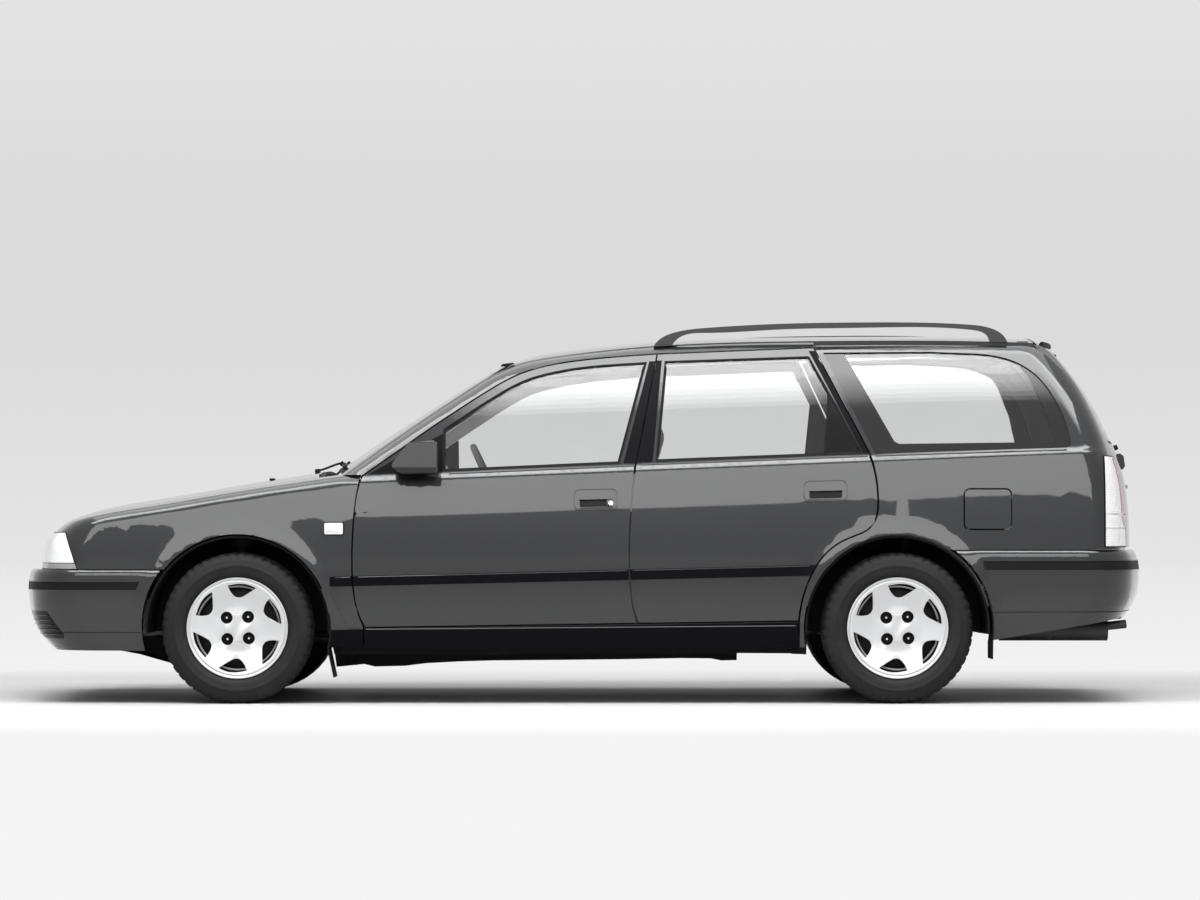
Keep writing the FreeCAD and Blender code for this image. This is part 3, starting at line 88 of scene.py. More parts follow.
def addLamp(name, place, target, power, size):
    data = bpy.data.lights.new(name, "AREA")
    data.shape = "RECTANGLE"
    data.size, data.size_y = size
    data.energy = power
    lamp = bpy.data.objects.new(name, data)
    lamp.location = place
    lamp.rotation_euler = (Vector(target) - Vector(place)).to_track_quat("-Z", "Y").to_euler()
    lamp.visible_camera = False
    sceneNow.collection.objects.link(lamp)


addLamp("overhead", **studio["overhead"])
addLamp("panel", **studio["panel"])
for i, edge in enumerate(studio["eaveEdges"]):  # lamps side by side, so that the light fades towards its edge
    wide = studio["eaveBack"] - edge
    y = (studio["eaveBack"] + edge) / 2
    size = (studio["eaveLength"], wide)
    addLamp(f"eave{i}", (0.0, y, studio["eaveHeight"] - studio["eaveDrop"] * i), (0, y, 0),
            studio["eaveRadiance"] * math.pi * size[0] * size[1], size)


# Shader maths

def grey(level):
    return (level, level, level)


def scaled(tint, share):
    return tuple(part * share for part in tint)


class Wire:  # a socket that takes plain arithmetic
    def __init__(self, nodes, socket):
        self.nodes = nodes
        self.socket = socket

    def sum(self, operation, *values):
        return self.nodes.add("ShaderNodeMath", {"operation": operation}, values)

    def other(self, name):  # another socket of the same node
        return Wire(self.nodes, self.socket.node.outputs[name])

    def __add__(self, other):
        return self.sum("ADD", self, other)

    def __radd__(self, other):
        return self.sum("ADD", other, self)

    def __sub__(self, other):
        return self.sum("SUBTRACT", self, other)

    def __rsub__(self, other):
        return self.sum("SUBTRACT", other, self)

    def __mul__(self, other):
        return self.sum("MULTIPLY", self, other)

    def __rmul__(self, other):
        return self.sum("MULTIPLY", other, self)

    def __pow__(self, other):
        return self.sum("POWER", self, other)

    def __abs__(self):
        return self.sum("ABSOLUTE", self)

    def most(self, other):
        return self.sum("MAXIMUM", self, other)

    def least(self, other):
        return self.sum("MINIMUM", self, other)

    def wave(self, turns):
        return self.sum("SINE", self * (2 * math.pi * turns))


class NodeSet:  # the nodes of a material or a world
    def __init__(self, owner):
        owner.use_nodes = True
        self.tree = owner.node_tree
        self.tree.nodes.clear()

    def add(self, kind, settings, values, output=0):
        node = self.tree.nodes.new(kind)
        for name, value in settings.items():
            if name == "stops":
                stops = node.color_ramp.elements
                while len(stops) < len(value):
                    stops.new(0.5)
                for stop, (position, level) in zip(stops, value):
                    stop.position = position
                    stop.color = (*grey(level), 1)
            else:
                setattr(node, name, value)
        pairs = values.items() if isinstance(values, dict) else enumerate(values)
        for key, value in pairs:
            self.join(node.inputs[key], value)
        return node if output is None else Wire(self, node.outputs[output])

    def join(self, socket, value):
        if isinstance(value, Wire):
            self.tree.links.new(value.socket, socket)
        elif socket.type == "RGBA" and len(value) == 3:
            socket.default_value = (*value, 1)
        else:
            socket.default_value = value

    def mixShaders(self, mask, first, second):
        return self.add("ShaderNodeMixShader", {}, [mask, first, second])


class Finish(NodeSet):
    labels = {"colour": "Base Color", "roughness": "Roughness", "metallic": "Metallic", "coat": "Coat Weight",
              "coatRoughness": "Coat Roughness", "transmission": "Transmission Weight", "ior": "IOR",
              "normal": "Normal", "sheen": "Sheen Weight", "specular": "Specular IOR Level"}

    def __init__(self, name, **looks):
        self.material = bpy.data.materials.new(name)
        super().__init__(self.material)
        self.shader = self.add("ShaderNodeBsdfPrincipled", {}, {}, None)
        self.surface = Wire(self, self.shader.outputs[0])
        self.output = self.add("ShaderNodeOutputMaterial", {}, {"Surface": self.surface}, None)
        self.place = self.add("ShaderNodeTexCoord", {}, {}, "Object")
        for label, value in looks.items():
            self.feed(label, value)

    def feed(self, label, value):
        self.join(self.shader.inputs[self.labels[label]], value)

    def show(self, shader):  # the surface is this instead of the plain shader
        self.join(self.output.inputs["Surface"], shader)

    def axes(self):
        x = self.add("ShaderNodeSeparateXYZ", {}, [self.place])
        return x, x.other(1), x.other(2)

    def noise(self, scale, detail=2.0, roughness=0.5):
        return self.add("ShaderNodeTexNoise", {}, {"Vector": self.place, "Scale": scale, "Detail": detail,
                                                   "Roughness": roughness})

    def cells(self, scale):
        return self.add("ShaderNodeTexVoronoi", {}, {"Vector": self.place, "Scale": scale})

    def remap(self, value, low, high, start=0.0, end=1.0):
        return self.add("ShaderNodeMapRange", {"interpolation_type": "SMOOTHSTEP"},
                        (value, low, high, start, end))

    def blend(self, mask, first, second):
        return self.add("ShaderNodeMix", {"data_type": "RGBA"}, {0: mask, 6: first, 7: second}, 2)

    def bump(self, height, strength, distance=0.001):
        self.feed("normal", self.add("ShaderNodeBump", {},
                                     {"Strength": strength, "Distance": distance, "Height": height}))

    def inside(self, corners, blur=0.0006):  # 1 inside a convex outline seen from the side
        x, _, z = self.axes()
        middle = [sum(corner[i] for corner in corners) / len(corners) for i in range(2)]
        worst = None
        for (ax, az), (bx, bz) in zip(corners, corners[1:] + corners[:1]):
            run = math.hypot(bx - ax, bz - az)
            nx, nz = (bz - az) / run, (ax - bx) / run
            level = nx * ax + nz * az
            if nx * middle[0] + nz * middle[1] > level:
                nx, nz, level = -nx, -nz, -level
            reach = x * nx + z * nz - level
            worst = reach if worst is None else worst.most(reach)
        return self.remap(worst, -blur, blur, 1.0, 0.0)


# Finishes

paintLook = {
    "deep": (0.012, 0.0125, 0.0135),
    "bright": (0.021, 0.022, 0.0235),
    "black": (0.006, 0.006, 0.007),
    "metal": 0.40,
    "rough": 0.33,
}


def paintFinish(name, *blackAndShadeAreas):  # metallic paint under a clear coat, with matt black in some outlines: real black trim, and painted shade on the sill
    finish = Finish(name, coatRoughness=0.03, specular=0.1)
    flake = finish.noise(2600, 1.0)
    body = finish.blend(finish.remap(flake, 0.35, 0.7), paintLook["deep"], paintLook["bright"])
    body = finish.blend(finish.noise(1.3, 3.0) * 0.25, body, paintLook["bright"])
    rough = paintLook["rough"] + flake * 0.08
    coat, metal, black = 1.0, paintLook["metal"], None
    for corners in blackAndShadeAreas:
        area = finish.inside(corners)
        black = area if black is None else black.most(area)
    if blackAndShadeAreas:
        # the same black serves real black trim and the sill's painted shade
        body = finish.blend(black, body, paintLook["black"])
        coat = 1.0 - black
        metal = paintLook["metal"] + black * 0.55
        rough = rough + black * 0.12
    for label, value in {"colour": body, "coat": coat, "metallic": metal, "roughness": rough}.items():
        finish.feed(label, value)
    finish.bump(finish.noise(420, 1.0), 0.05, 0.0004)
    return finish.material


def plasticFinish(name, level, roughness, grain, depth, specular=0.5, tint=(1.0, 1.0, 1.0)):
    finish = Finish(name, specular=specular)
    wear = finish.noise(7, 4.0)
    finish.feed("colour", finish.blend(wear, scaled(tint, level * 0.8), scaled(tint, level * 1.3)))
    finish.feed("roughness", roughness + wear * 0.14)
    finish.bump(finish.cells(grain), depth, 0.0003)
    return finish.material


def rubberFinish(name):
    finish = Finish(name, specular=0.22)
    dust = finish.remap(finish.noise(14, 5.0, 0.65), 0.45, 0.8)
    fine = finish.noise(500, 2.0)
    finish.feed("colour", finish.blend(dust * 0.5, (0.0065, 0.0065, 0.0068), (0.020, 0.0195, 0.019)))
    finish.feed("roughness", 0.52 + fine * 0.2 + dust * 0.1)
    finish.bump(fine, 0.3, 0.0005)
    return finish.material


def wheelFinish(name):
    finish = Finish(name, metallic=0.25, coat=0.35, coatRoughness=0.12)
    finish.feed("colour", finish.blend(finish.noise(1800, 1.0), (0.43, 0.435, 0.44), (0.51, 0.515, 0.52)))
    finish.feed("roughness", 0.30 + finish.noise(6, 3.0) * 0.12)
    finish.bump(finish.noise(300, 1.0), 0.04, 0.0004)
    return finish.material


def metalFinish(name, level, roughness, patches=18, rust=0.0):
    finish = Finish(name, metallic=0.9)
    patch = finish.noise(patches, 5.0, 0.6)
    body = finish.blend(patch, grey(level * 0.7), grey(level * 1.15))
    if rust:
        stain = finish.remap(finish.noise(patches * 2, 6.0, 0.7), 0.52, 0.72)
        body = finish.blend(stain * rust, body, (0.16, 0.075, 0.035))
        finish.feed("metallic", 0.9 - stain * (0.8 * rust))
    finish.feed("colour", body)
    finish.feed("roughness", roughness + patch * 0.2)
    finish.bump(finish.noise(patches * 12, 3.0), 0.25, 0.0006)
    return finish.material


def glassFinish(name, tint, clear=None):  # clear is the outline that a black border leaves
    finish = Finish(name, transmission=1.0, ior=1.46)
    smear = finish.noise(5, 4.0)
    finish.feed("colour", finish.blend(smear, tint, scaled(tint, 0.97)))
    finish.feed("roughness", smear * 0.012)
    if clear:
        border = finish.add("ShaderNodeBsdfPrincipled", {},
                            {"Base Color": (0.010, 0.010, 0.011), "Roughness": 0.10})
        finish.show(finish.mixShaders(1.0 - finish.inside(clear), finish.surface, border))
    return finish.material


def lampFinish(name, tint, ribs, direction):  # a coloured lens that light passes through
    finish = Finish(name, transmission=0.92, ior=1.45, coat=0.4, coatRoughness=0.02)
    smear = finish.noise(60, 2.0)
    finish.feed("colour", finish.blend(smear, tint, scaled(tint, 0.94)))
    finish.feed("roughness", 0.05 + smear * 0.05)
    finish.bump(finish.axes()[direction].wave(ribs), 0.5, 0.0012)
    return finish.material


def lensFinish(name, tint, ribs, direction):  # an opaque moulded lens, with the bright reflector behind it painted into its pale colour and painted shade along its ribs
    finish = Finish(name, coat=1.0, coatRoughness=0.02, roughness=0.12, metallic=0.15)
    wave = finish.axes()[direction].wave(ribs)
    # random tone, plus painted shade that follows the ribs
    shade = finish.noise(9, 2.0) * 0.6 + (wave + 1.0) * 0.12
    finish.feed("colour", finish.blend(shade, scaled(tint, 0.90), tint))
    finish.bump(wave, 0.25, 0.0010)
    return finish.material


def clothFinish(name, dark, light, thread=520):
    finish = Finish(name, sheen=0.35)
    x, y, z = finish.axes()
    weave = y.wave(thread / 2) * (x + z).wave(thread / 2) * 0.5 + 0.5
    fleck = finish.noise(240, 2.0)
    shade = finish.noise(9, 3.0)
    finish.feed("colour", finish.blend(weave * 0.5 + fleck * 0.35 + shade * 0.15, dark, light))
    finish.feed("roughness", 0.82 + fleck * 0.12)
    finish.bump(weave + fleck * 0.4, 0.35, 0.0006)
    return finish.material


def carpetFinish(name):
    finish = Finish(name, sheen=0.4)
    tuft = finish.noise(700, 3.0, 0.7)
    worn = finish.blend(finish.noise(4, 3.0), (0.05, 0.05, 0.052), (0.075, 0.074, 0.073))
    finish.feed("colour", finish.blend(tuft, (0.020, 0.020, 0.021), worn))
    finish.feed("roughness", 0.9 + tuft * 0.08)
    finish.bump(tuft, 0.6, 0.002)
    return finish.material


rubBand = [(-0.98, 0.4520), (0.92, 0.4955), (0.92, 0.5370), (-0.98, 0.4905)]
# painted shade: the sill faces down into the car's shadow, so this band is coloured matt black
sillShadeBand = [(-0.9, 0.20), (0.9, 0.20), (0.9, 0.316), (-0.9, 0.2885)]
# painted shade: the sill's black band carried forward along the foot of the wing's guard
guardFootShade = [(-1.1, 0.19), (-0.84, 0.19), (-0.84, 0.2885), (-1.1, 0.280)]
frontPillar = [(0.153, 0.9275), (0.205, 0.9275), (0.290, 1.330), (0.256, 1.330)]
mirrorSash = [(-0.835, 0.8855), (-0.545, 0.8965), (-0.545, 1.045), (-0.600, 1.016)]
rearPillar = [(0.200, 0.930), (0.267, 0.9335), (0.305, 1.333), (0.285, 1.333)]
rearSash = [(1.0815, 0.9665), (1.140, 0.9665), (0.935, 1.371), (0.8785, 1.371)]
quarterClear = [(1.015, 1.362), (1.203, 1.014), (1.222, 1.004), (1.823, 1.012), (1.791, 1.142), (1.736, 1.270),
                (1.695, 1.325), (1.645, 1.348), (1.580, 1.362)]
across, upward = 1, 2  # the axis that a lens's ribs are counted along
paleGreen = (0.935, 0.945, 0.94)

finishLooks = {  # how each finish is made
    "paint": (paintFinish,),
    "paintStrip": (paintFinish, rubBand),
    "paintFrontDoor": (paintFinish, rubBand, frontPillar, mirrorSash),
    "paintRearDoor": (paintFinish, rubBand, rearPillar, rearSash),
    "paintGuard": (paintFinish, guardFootShade),
    "headCloth": (clothFinish, (0.30, 0.30, 0.29), (0.42, 0.42, 0.41), 900),
    "paintSide": (paintFinish, sillShadeBand),
    "glass": (glassFinish, paleGreen),
    "quarterGlass": (glassFinish, paleGreen, quarterClear),
    "gateGlass": (glassFinish, (0.90, 0.91, 0.905)),
    "blackTrim": (plasticFinish, 0.0085, 0.48, 700, 0.2, 0.08),
    "blackRubber": (plasticFinish, 0.0070, 0.55, 400, 0.15, 0.07),
    "glossBlack": (plasticFinish, 0.0065, 0.14, 300, 0.03, 0.14),
    "shellBlack": (plasticFinish, 0.009, 0.24, 500, 0.06, 0.4),
    "cabinPlastic": (plasticFinish, 0.050, 0.55, 1100, 0.35, 0.5, (1.0, 0.99, 0.97)),
    "cabinPale": (plasticFinish, 0.30, 0.6, 1100, 0.3, 0.5, (1.0, 0.995, 0.98)),
    "lampAmber": (lampFinish, (0.95, 0.45, 0.08), 120, upward),
    "lampRed": (lampFinish, (0.75, 0.03, 0.03), 120, upward),
    "lensWhite": (plasticFinish, 0.58, 0.10, 200, 0.03),
    "lensBright": (lensFinish, (0.90, 0.91, 0.91), 60, across),
    "lensPale": (lensFinish, (0.80, 0.80, 0.795), 110, upward),
    "lensGrey": (plasticFinish, 0.26, 0.10, 200, 0.03),
    "mirrorSilver": (metalFinish, 0.88, 0.015, 3),
    "chrome": (metalFinish, 0.82, 0.05, 4),
    "exhaustSteel": (metalFinish, 0.070, 0.55, 10, 0.5),
    "iron": (metalFinish, 0.16, 0.55, 22, 0.25),
    "underseal": (plasticFinish, 0.0085, 0.75, 260, 0.7, 0.06),
    "chassisBlack": (plasticFinish, 0.009, 0.5, 300, 0.25, 0.12),
    "guardPlastic": (plasticFinish, 0.0070, 0.6, 500, 0.3, 0.07),
    "rubber": (rubberFinish,),
    "wheelPaint": (wheelFinish,),
    "seatCloth": (clothFinish, (0.040, 0.040, 0.043), (0.10, 0.10, 0.105)),
    "seatEdge": (clothFinish, (0.022, 0.022, 0.024), (0.05, 0.05, 0.053), 800),
    "carpet": (carpetFinish,),
}
finishes = {name: make(name, *looks) for name, (make, *looks) in finishLooks.items()}
print("finishes made:", len(finishes))

nodeFinishes = {
    "paint": ["bonnet", "roof_panel", "quarter_panel_left", "quarter_panel_right", "tailgate", "fuel_flap",
              "front_bumper", "rear_bumper"],
    "paintStrip": ["wing_left", "wing_right"],
    "paintFrontDoor": ["front_door_left", "front_door_right"],
    "paintRearDoor": ["rear_door_left", "rear_door_right"],
    "paintSide": ["body_side_left", "body_side_right"],
    "glass": ["windscreen", "front_door_glass_left", "front_door_glass_right", "rear_door_glass_left",
              "rear_door_glass_right"],
    "quarterGlass": ["quarter_glass"],
    "gateGlass": ["tailgate_glass"],
    "guardPlastic": ["mud_flaps"],
    "shellBlack": ["roof_rails", "mirror_left", "mirror_right"],
    "blackTrim": ["scuttle", "grille"],
    "lensWhite": ["tail_lamps", "headlamps"],
    "underseal": ["floor_pan", "front_structure"],
    "chassisBlack": ["front_suspension", "rear_suspension", "knuckle_left", "knuckle_right", "fuel_tank"],
    "exhaustSteel": ["exhaust"],
    "iron": ["engine_block"],
    "rubber": ["tyre_front_left", "tyre_front_right", "tyre_rear_left", "tyre_rear_right"],
    "wheelPaint": ["wheel_front_left", "wheel_front_right", "wheel_rear_left", "wheel_rear_right"],
    "seatCloth": ["front_seat_left", "front_seat_right", "rear_seat"],
    "cabinPlastic": ["dashboard", "steering_wheel"],
}
for finishName, nodeNames in nodeFinishes.items():
    for nodeName in nodeNames:
        cadNodes[nodeName].data.materials.clear()
        cadNodes[nodeName].data.materials.append(finishes[finishName])
print("finishes assigned")


# Floor and backdrop: pale to the camera and in reflections, plain to the lamps, with a painted shadow under the car

def seenByEye(nodes):  # 1 on camera, mirror and glass rays
    eye = nodes.add("ShaderNodeLightPath", {}, {}, "Is Camera Ray")
    return eye.most(eye.other("Is Glossy Ray")).most(eye.other("Is Transmission Ray"))


def floorFinish():
    finish = Finish("floorFinish", roughness=0.6)
    x, y, _ = finish.axes()

    def beyond(length, width):  # how far outside a box round the car's middle
        return ((abs(x) - length).most(0.0) ** 2 + (abs(y) - width).most(0.0) ** 2) ** 0.5

    albedo = studio["floorAlbedo"]
    plain = finish.blend(finish.noise(0.4, 2.0), grey(albedo), grey(albedo * 0.985))
    # painted shadow: the floor's colour darkens inside a box round the car's middle
    clear = finish.remap(beyond(1.95, 0.55), *studio["paintedShadowReach"])
    finish.feed("colour", finish.blend(clear, grey(studio["floorShadowUnder"]), plain))
    fromCamera = (y - shot["place"][1]).most(5.0)
    pale = (studio["horizonBright"] + fromCamera ** -1 * studio["floorGain"]).least(studio["floorNear"])
    glow = finish.add("ShaderNodeEmission", {}, {"Color": pale})
    seen = seenByEye(finish) * finish.remap(beyond(2.2, 0.8), *studio["litReach"])
    finish.show(finish.mixShaders(seen, finish.surface, glow))
    return finish.material


def makeFloor():
    form = bmesh.new()
    bmesh.ops.create_grid(form, x_segments=1, y_segments=1, size=studio["floorSize"])
    floor = plainObject("floor", form)
    floor.data.materials.append(floorFinish())


def makeWorld():
    world = bpy.data.worlds.new("studioWorld")
    sceneNow.world = world
    nodes = NodeSet(world)
    view = nodes.add("ShaderNodeTexCoord", {}, {}, "Generated")
    rise = nodes.add("ShaderNodeSeparateXYZ", {}, [view], 2)
    height = nodes.add("ShaderNodeMapRange", {}, {"Value": rise, "From Min": -0.08, "From Max": 0.12})
    stops = [(0.0, studio["floorNear"]), (0.40, studio["horizonBright"]), (0.62, studio["backdropBright"]),
             (0.82, studio["backdropBright"]), (1.0, studio["zenithBright"])]
    bright = nodes.add("ShaderNodeValToRGB", {"stops": stops}, [height])
    shown = nodes.add("ShaderNodeBackground", {}, {"Color": bright})
    lit = nodes.add("ShaderNodeBackground", {}, {"Strength": studio["worldStrength"]})
    nodes.add("ShaderNodeOutputWorld", {}, {"Surface": nodes.mixShaders(seenByEye(nodes), lit, shown)}, None)


def plainObject(name, form):
    mesh = bpy.data.meshes.new(name)
    form.to_mesh(mesh)
    form.free()
    thing = bpy.data.objects.new(name, mesh)
    sceneNow.collection.objects.link(thing)
    return thing


makeFloor()
makeWorld()
print("stage ready")


# Mesh helpers

sides = ("left", "right")


def doorsOf(end):
    return [f"{end}_door_{side}" for side in sides]


def addPiece(name, form, body, finish, sharpAngle=35):
    for face in form.faces:
        face.smooth = True
    for edge in form.edges:
        if len(edge.link_faces) == 2 and edge.calc_face_angle(0) > math.radians(sharpAngle):
            edge.smooth = False
    piece = plainObject(name, form)
    piece.data.materials.append(finishes[finish])
    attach(piece, body)
    return piece


def otherSide(form):  # the mirror image, for the right side of the car
    copy = form.copy()
    bmesh.ops.scale(copy, vec=(1, -1, 1), verts=copy.verts)
    bmesh.ops.reverse_faces(copy, faces=copy.faces)
    return copy


def addPair(name, form, bodies, finish, sharpAngle=35):
    addPiece(name + "Right", otherSide(form), bodies[1], finish, sharpAngle)
    addPiece(name + "Left", form, bodies[0], finish, sharpAngle)


def join(*forms):
    whole = forms[0]
    for form in forms[1:]:
        spare = bpy.data.meshes.new("spare")
        form.to_mesh(spare)
        form.free()
        whole.from_mesh(spare)
        bpy.data.meshes.remove(spare)
    return whole


def addBoth(name, form, body, finish):  # one piece on both sides
    addPiece(name, join(form, otherSide(form)), body, finish)


def moved(form, place, degrees=0, axis="Z"):  # turned about an axis, then set in its place
    if degrees:
        bmesh.ops.rotate(form, matrix=Matrix.Rotation(math.radians(degrees), 3, axis), verts=form.verts)
    bmesh.ops.translate(form, vec=place, verts=form.verts)
    return form


def treeOf(*names):
    points, faces = [], []
    for name in names:
        mesh = cadNodes[name].data
        start = len(points)
        points += [vertex.co.copy() for vertex in mesh.vertices]
        faces += [[start + i for i in polygon.vertices] for polygon in mesh.polygons]
    return BVHTree.FromPolygons(points, faces)


def smoothRun(points, perSpan=6):  # a rounded line through a few points
    ends = [points[0], *points, points[-1]]
    run = []
    for a, b, c, d in zip(ends, ends[1:], ends[2:], ends[3:]):
        a, b, c, d = (Vector(p) for p in (a, b, c, d))
        for i in range(perSpan):
            t = i / perSpan
            run.append(0.5 * (2 * b + (c - a) * t + (2 * a - 5 * b + 4 * c - d) * t ** 2
                              + (3 * b - a - 3 * c + d) * t ** 3))
    return run + [Vector(points[-1])]


def spotKey(place, digits=7):  # rounded, so that the same place is found again
    return tuple(round(c, digits) for c in place)


def sweep(path, outs, outline, closed=False):  # an outline of (across, out) drawn along a path
    form = bmesh.new()
    count = len(path)
    edges, ring, firstRing = [], [], []
    for i in range(count + 1 if closed else count):
        here = path[i % count]
        before = path[(i - 1) % count] if closed or i > 0 else here
        after = path[(i + 1) % count] if closed or i < count - 1 else here
        along = (after - before).normalized()
        out = outs[i % count] if isinstance(outs, list) else Vector(outs)
        out = (out - along * out.dot(along)).normalized()
        across = along.cross(out)
        spots = [here + across * a + out * b for a, b in outline]
        if not ring:
            ring = [form.verts.new(spot) for spot in spots]
            edges = [form.edges.new((a, b)) for a, b in zip(ring, ring[1:] + ring[:1])]
            firstRing = ring
        else:
            made = bmesh.ops.extrude_edge_only(form, edges=edges)["geom"]
            fresh = {spotKey(g.co): g for g in made if isinstance(g, bmesh.types.BMVert)}
            ring = [fresh[spotKey(vertex.co)] for vertex in ring]
            edges = [form.edges.get((a, b)) for a, b in zip(ring, ring[1:] + ring[:1])]
            for vertex, spot in zip(ring, spots):
                vertex.co = spot
    if closed:
        bmesh.ops.remove_doubles(form, verts=form.verts, dist=1e-6)
    else:
        form.faces.new(firstRing)
        form.faces.new(ring)
    bmesh.ops.recalc_face_normals(form, faces=form.faces)
    return form


def bar(width, height, soften=0.3):  # a rounded rectangle standing on a surface
    w, soft = width / 2, min(width, height) * soften
    return [(-w, -0.0012), (w, -0.0012), (w, height - soft), (w - soft * 0.35, height - soft * 0.3),
            (w - soft, height), (-w + soft, height), (-w + soft * 0.35, height - soft * 0.3), (-w, height - soft)]


def turned(outline, steps, close=True):  # (radius, outward offset) points spun round an axle
    form = bmesh.new()
    ring = [form.verts.new((r, -w, 0)) for r, w in outline]
    edges = [form.edges.new(pair) for pair in zip(ring, ring[1:])]
    if close:
        edges.append(form.edges.new((ring[-1], ring[0])))
    bmesh.ops.spin(form, geom=ring + edges, cent=(0, 0, 0), axis=(0, 1, 0), angle=2 * math.pi,
                   steps=steps, use_merge=True)
    bmesh.ops.remove_doubles(form, verts=form.verts, dist=1e-6)
    bmesh.ops.recalc_face_normals(form, faces=form.faces)
    return form


def softBox(low, high, radius, segments=2):
    form = bmesh.new()
    bmesh.ops.create_cube(form, size=1)
    size = Vector(high) - Vector(low)
    bmesh.ops.scale(form, vec=size, verts=form.verts)
    bmesh.ops.translate(form, vec=(Vector(low) + Vector(high)) / 2, verts=form.verts)
    return softened(form, form.edges[:], radius, segments)


def rod(start, end, radius, sides=16, endRadius=None):
    form = bmesh.new()
    start, end = Vector(start), Vector(end)
    bmesh.ops.create_cone(form, cap_ends=True, segments=sides, radius1=radius,
                          radius2=radius if endRadius is None else endRadius, depth=(end - start).length)
    turn = (end - start).to_track_quat("Z", "Y").to_matrix().to_4x4()
    bmesh.ops.transform(form, matrix=Matrix.Translation((start + end) / 2) @ turn, verts=form.verts)
    return form


def tube(points, radius, sides=10, perSpan=6):
    angles = [2 * math.pi * i / sides for i in range(sides)]
    circle = [(radius * math.cos(angle), radius * math.sin(angle)) for angle in angles]
    return sweep(smoothRun(points, perSpan), (0.013, 0.31, 0.95), circle)


def outerFaces(names, facing, least=0.25):  # a copy of the faces of some nodes that look a certain way
    sheet = bmesh.new()
    for name in names:
        sheet.from_mesh(cadNodes[name].data)
    bmesh.ops.remove_doubles(sheet, verts=sheet.verts, dist=1e-6)
    sheet.normal_update()
    hidden = []
    for face in sheet.faces:
        way = facing(face.calc_center_median()) if callable(facing) else Vector(facing)
        if face.normal.dot(way.normalized()) < least:
            hidden.append(face)
    bmesh.ops.delete(sheet, geom=hidden, context="FACES")
    return sheet


def clipped(sheet, corners, plane="xz"):  # what lies inside a convex outline
    i, k = ("xyz".index(letter) for letter in plane)
    middle = Vector((0, 0, 0))
    middle[i] = sum(corner[0] for corner in corners) / len(corners)
    middle[k] = sum(corner[1] for corner in corners) / len(corners)
    for (a, b), (c, d) in zip(corners, corners[1:] + corners[:1]):
        spot, normal = Vector((0, 0, 0)), Vector((0, 0, 0))
        spot[i], spot[k] = a, b
        normal[i], normal[k] = d - b, a - c
        if normal.dot(middle - spot) > 0:
            normal.negate()
        bmesh.ops.bisect_plane(sheet, geom=sheet.verts[:] + sheet.edges[:] + sheet.faces[:], dist=1e-6,
                               plane_co=spot, plane_no=normal, clear_outer=True)
    return sheet


def thickened(sheet, lift, depth):  # a sheet made into a thin closed solid
    sheet.normal_update()
    outs = {}
    for vertex in sheet.verts:
        vertex.co += vertex.normal * lift
        outs[spotKey(vertex.co, 6)] = vertex.normal.copy()
    made = bmesh.ops.extrude_face_region(sheet, geom=sheet.faces[:])["geom"]
    for vertex in made:
        if isinstance(vertex, bmesh.types.BMVert):
            vertex.co -= outs[spotKey(vertex.co, 6)] * depth
    bmesh.ops.recalc_face_normals(sheet, faces=sheet.faces)
    return sheet


rimGap, rimTurn, rimLeast = 0.02, 12, 0.004  # metres, degrees and metres between the kept points of a border


def rimLoop(sheet):  # the longest border of a sheet as thinned points with their normals
    sheet.normal_update()
    left = dict.fromkeys(edge for edge in sheet.edges if edge.is_boundary)  # keeps its order, unlike a set
    loops = []
    while left:
        edge = next(iter(left))
        del left[edge]
        start, here = edge.verts
        loop = [start]
        while here is not start:
            loop.append(here)
            onward = [other for other in here.link_edges if other in left]
            if not onward:
                break
            del left[onward[0]]
            here = onward[0].other_vert(here)
        loops.append(loop)

    def span(loop):
        return sum((a.co - b.co).length for a, b in zip(loop, loop[1:] + loop[:1]))

    loop = max(loops, key=span)
    kept = []
    for i, vertex in enumerate(loop):
        before, after = loop[i - 1].co, loop[(i + 1) % len(loop)].co
        bend = math.degrees((vertex.co - before).angle(after - vertex.co, 0))
        if not kept or bend > rimTurn or (vertex.co - kept[-1].co).length > rimGap:
            if not kept or (vertex.co - kept[-1].co).length > rimLeast:
                kept.append(vertex)
    if (kept[-1].co - kept[0].co).length < rimLeast:
        kept.pop()
    return [vertex.co.copy() for vertex in kept], [vertex.normal.copy() for vertex in kept]


def sealRound(name, facing, outline):  # a strip of rubber round a pane; outline is (inward, out)
    sheet = outerFaces([name], facing)
    run, outs = rimLoop(sheet)
    sheet.free()
    middle = sum(run, Vector()) / len(run)
    inward = 0
    for i, here in enumerate(run):
        along = run[(i + 1) % len(run)] - run[i - 1]
        inward += along.cross(outs[i]).dot(middle - here)
    if inward < 0:
        run.reverse()
        outs.reverse()
    return sweep(run, outs, outline, closed=True)


def onSide(tree, x, z):  # the spot of the left skin at x and z, with its normal
    return tree.ray_cast(Vector((x, -2, z)), Vector((0, 1, 0)))[:2]


def within(tree, x, z):  # a spot on the left side's inner face, with its normal
    return tree.ray_cast(Vector((x, -0.45, z)), Vector((0, -1, 0)))[:2]


def runOn(place, spots):  # spots dropped on a skin, with the skin's normals
    found = [place(*spot) for spot in spots]
    return [spot for spot, _ in found], [normal for _, normal in found]


def evenly(start, end, count):  # count + 1 places along a straight line
    return [tuple(a + (b - a) * i / count for a, b in zip(start, end)) for i in range(count + 1)]


def sideLoop(tree, spots):
    return runOn(lambda x, z: onSide(tree, x, z), spots)


def sideLine(tree, start, end, gap=0.03):
    count = max(2, round(math.hypot(end[0] - start[0], end[1] - start[1]) / gap))
    return sideLoop(tree, evenly(start, end, count))


def insideRun(tree, low, high, z):
    return runOn(lambda x, z: within(tree, x, z), evenly((low, z), (high, z), 14))


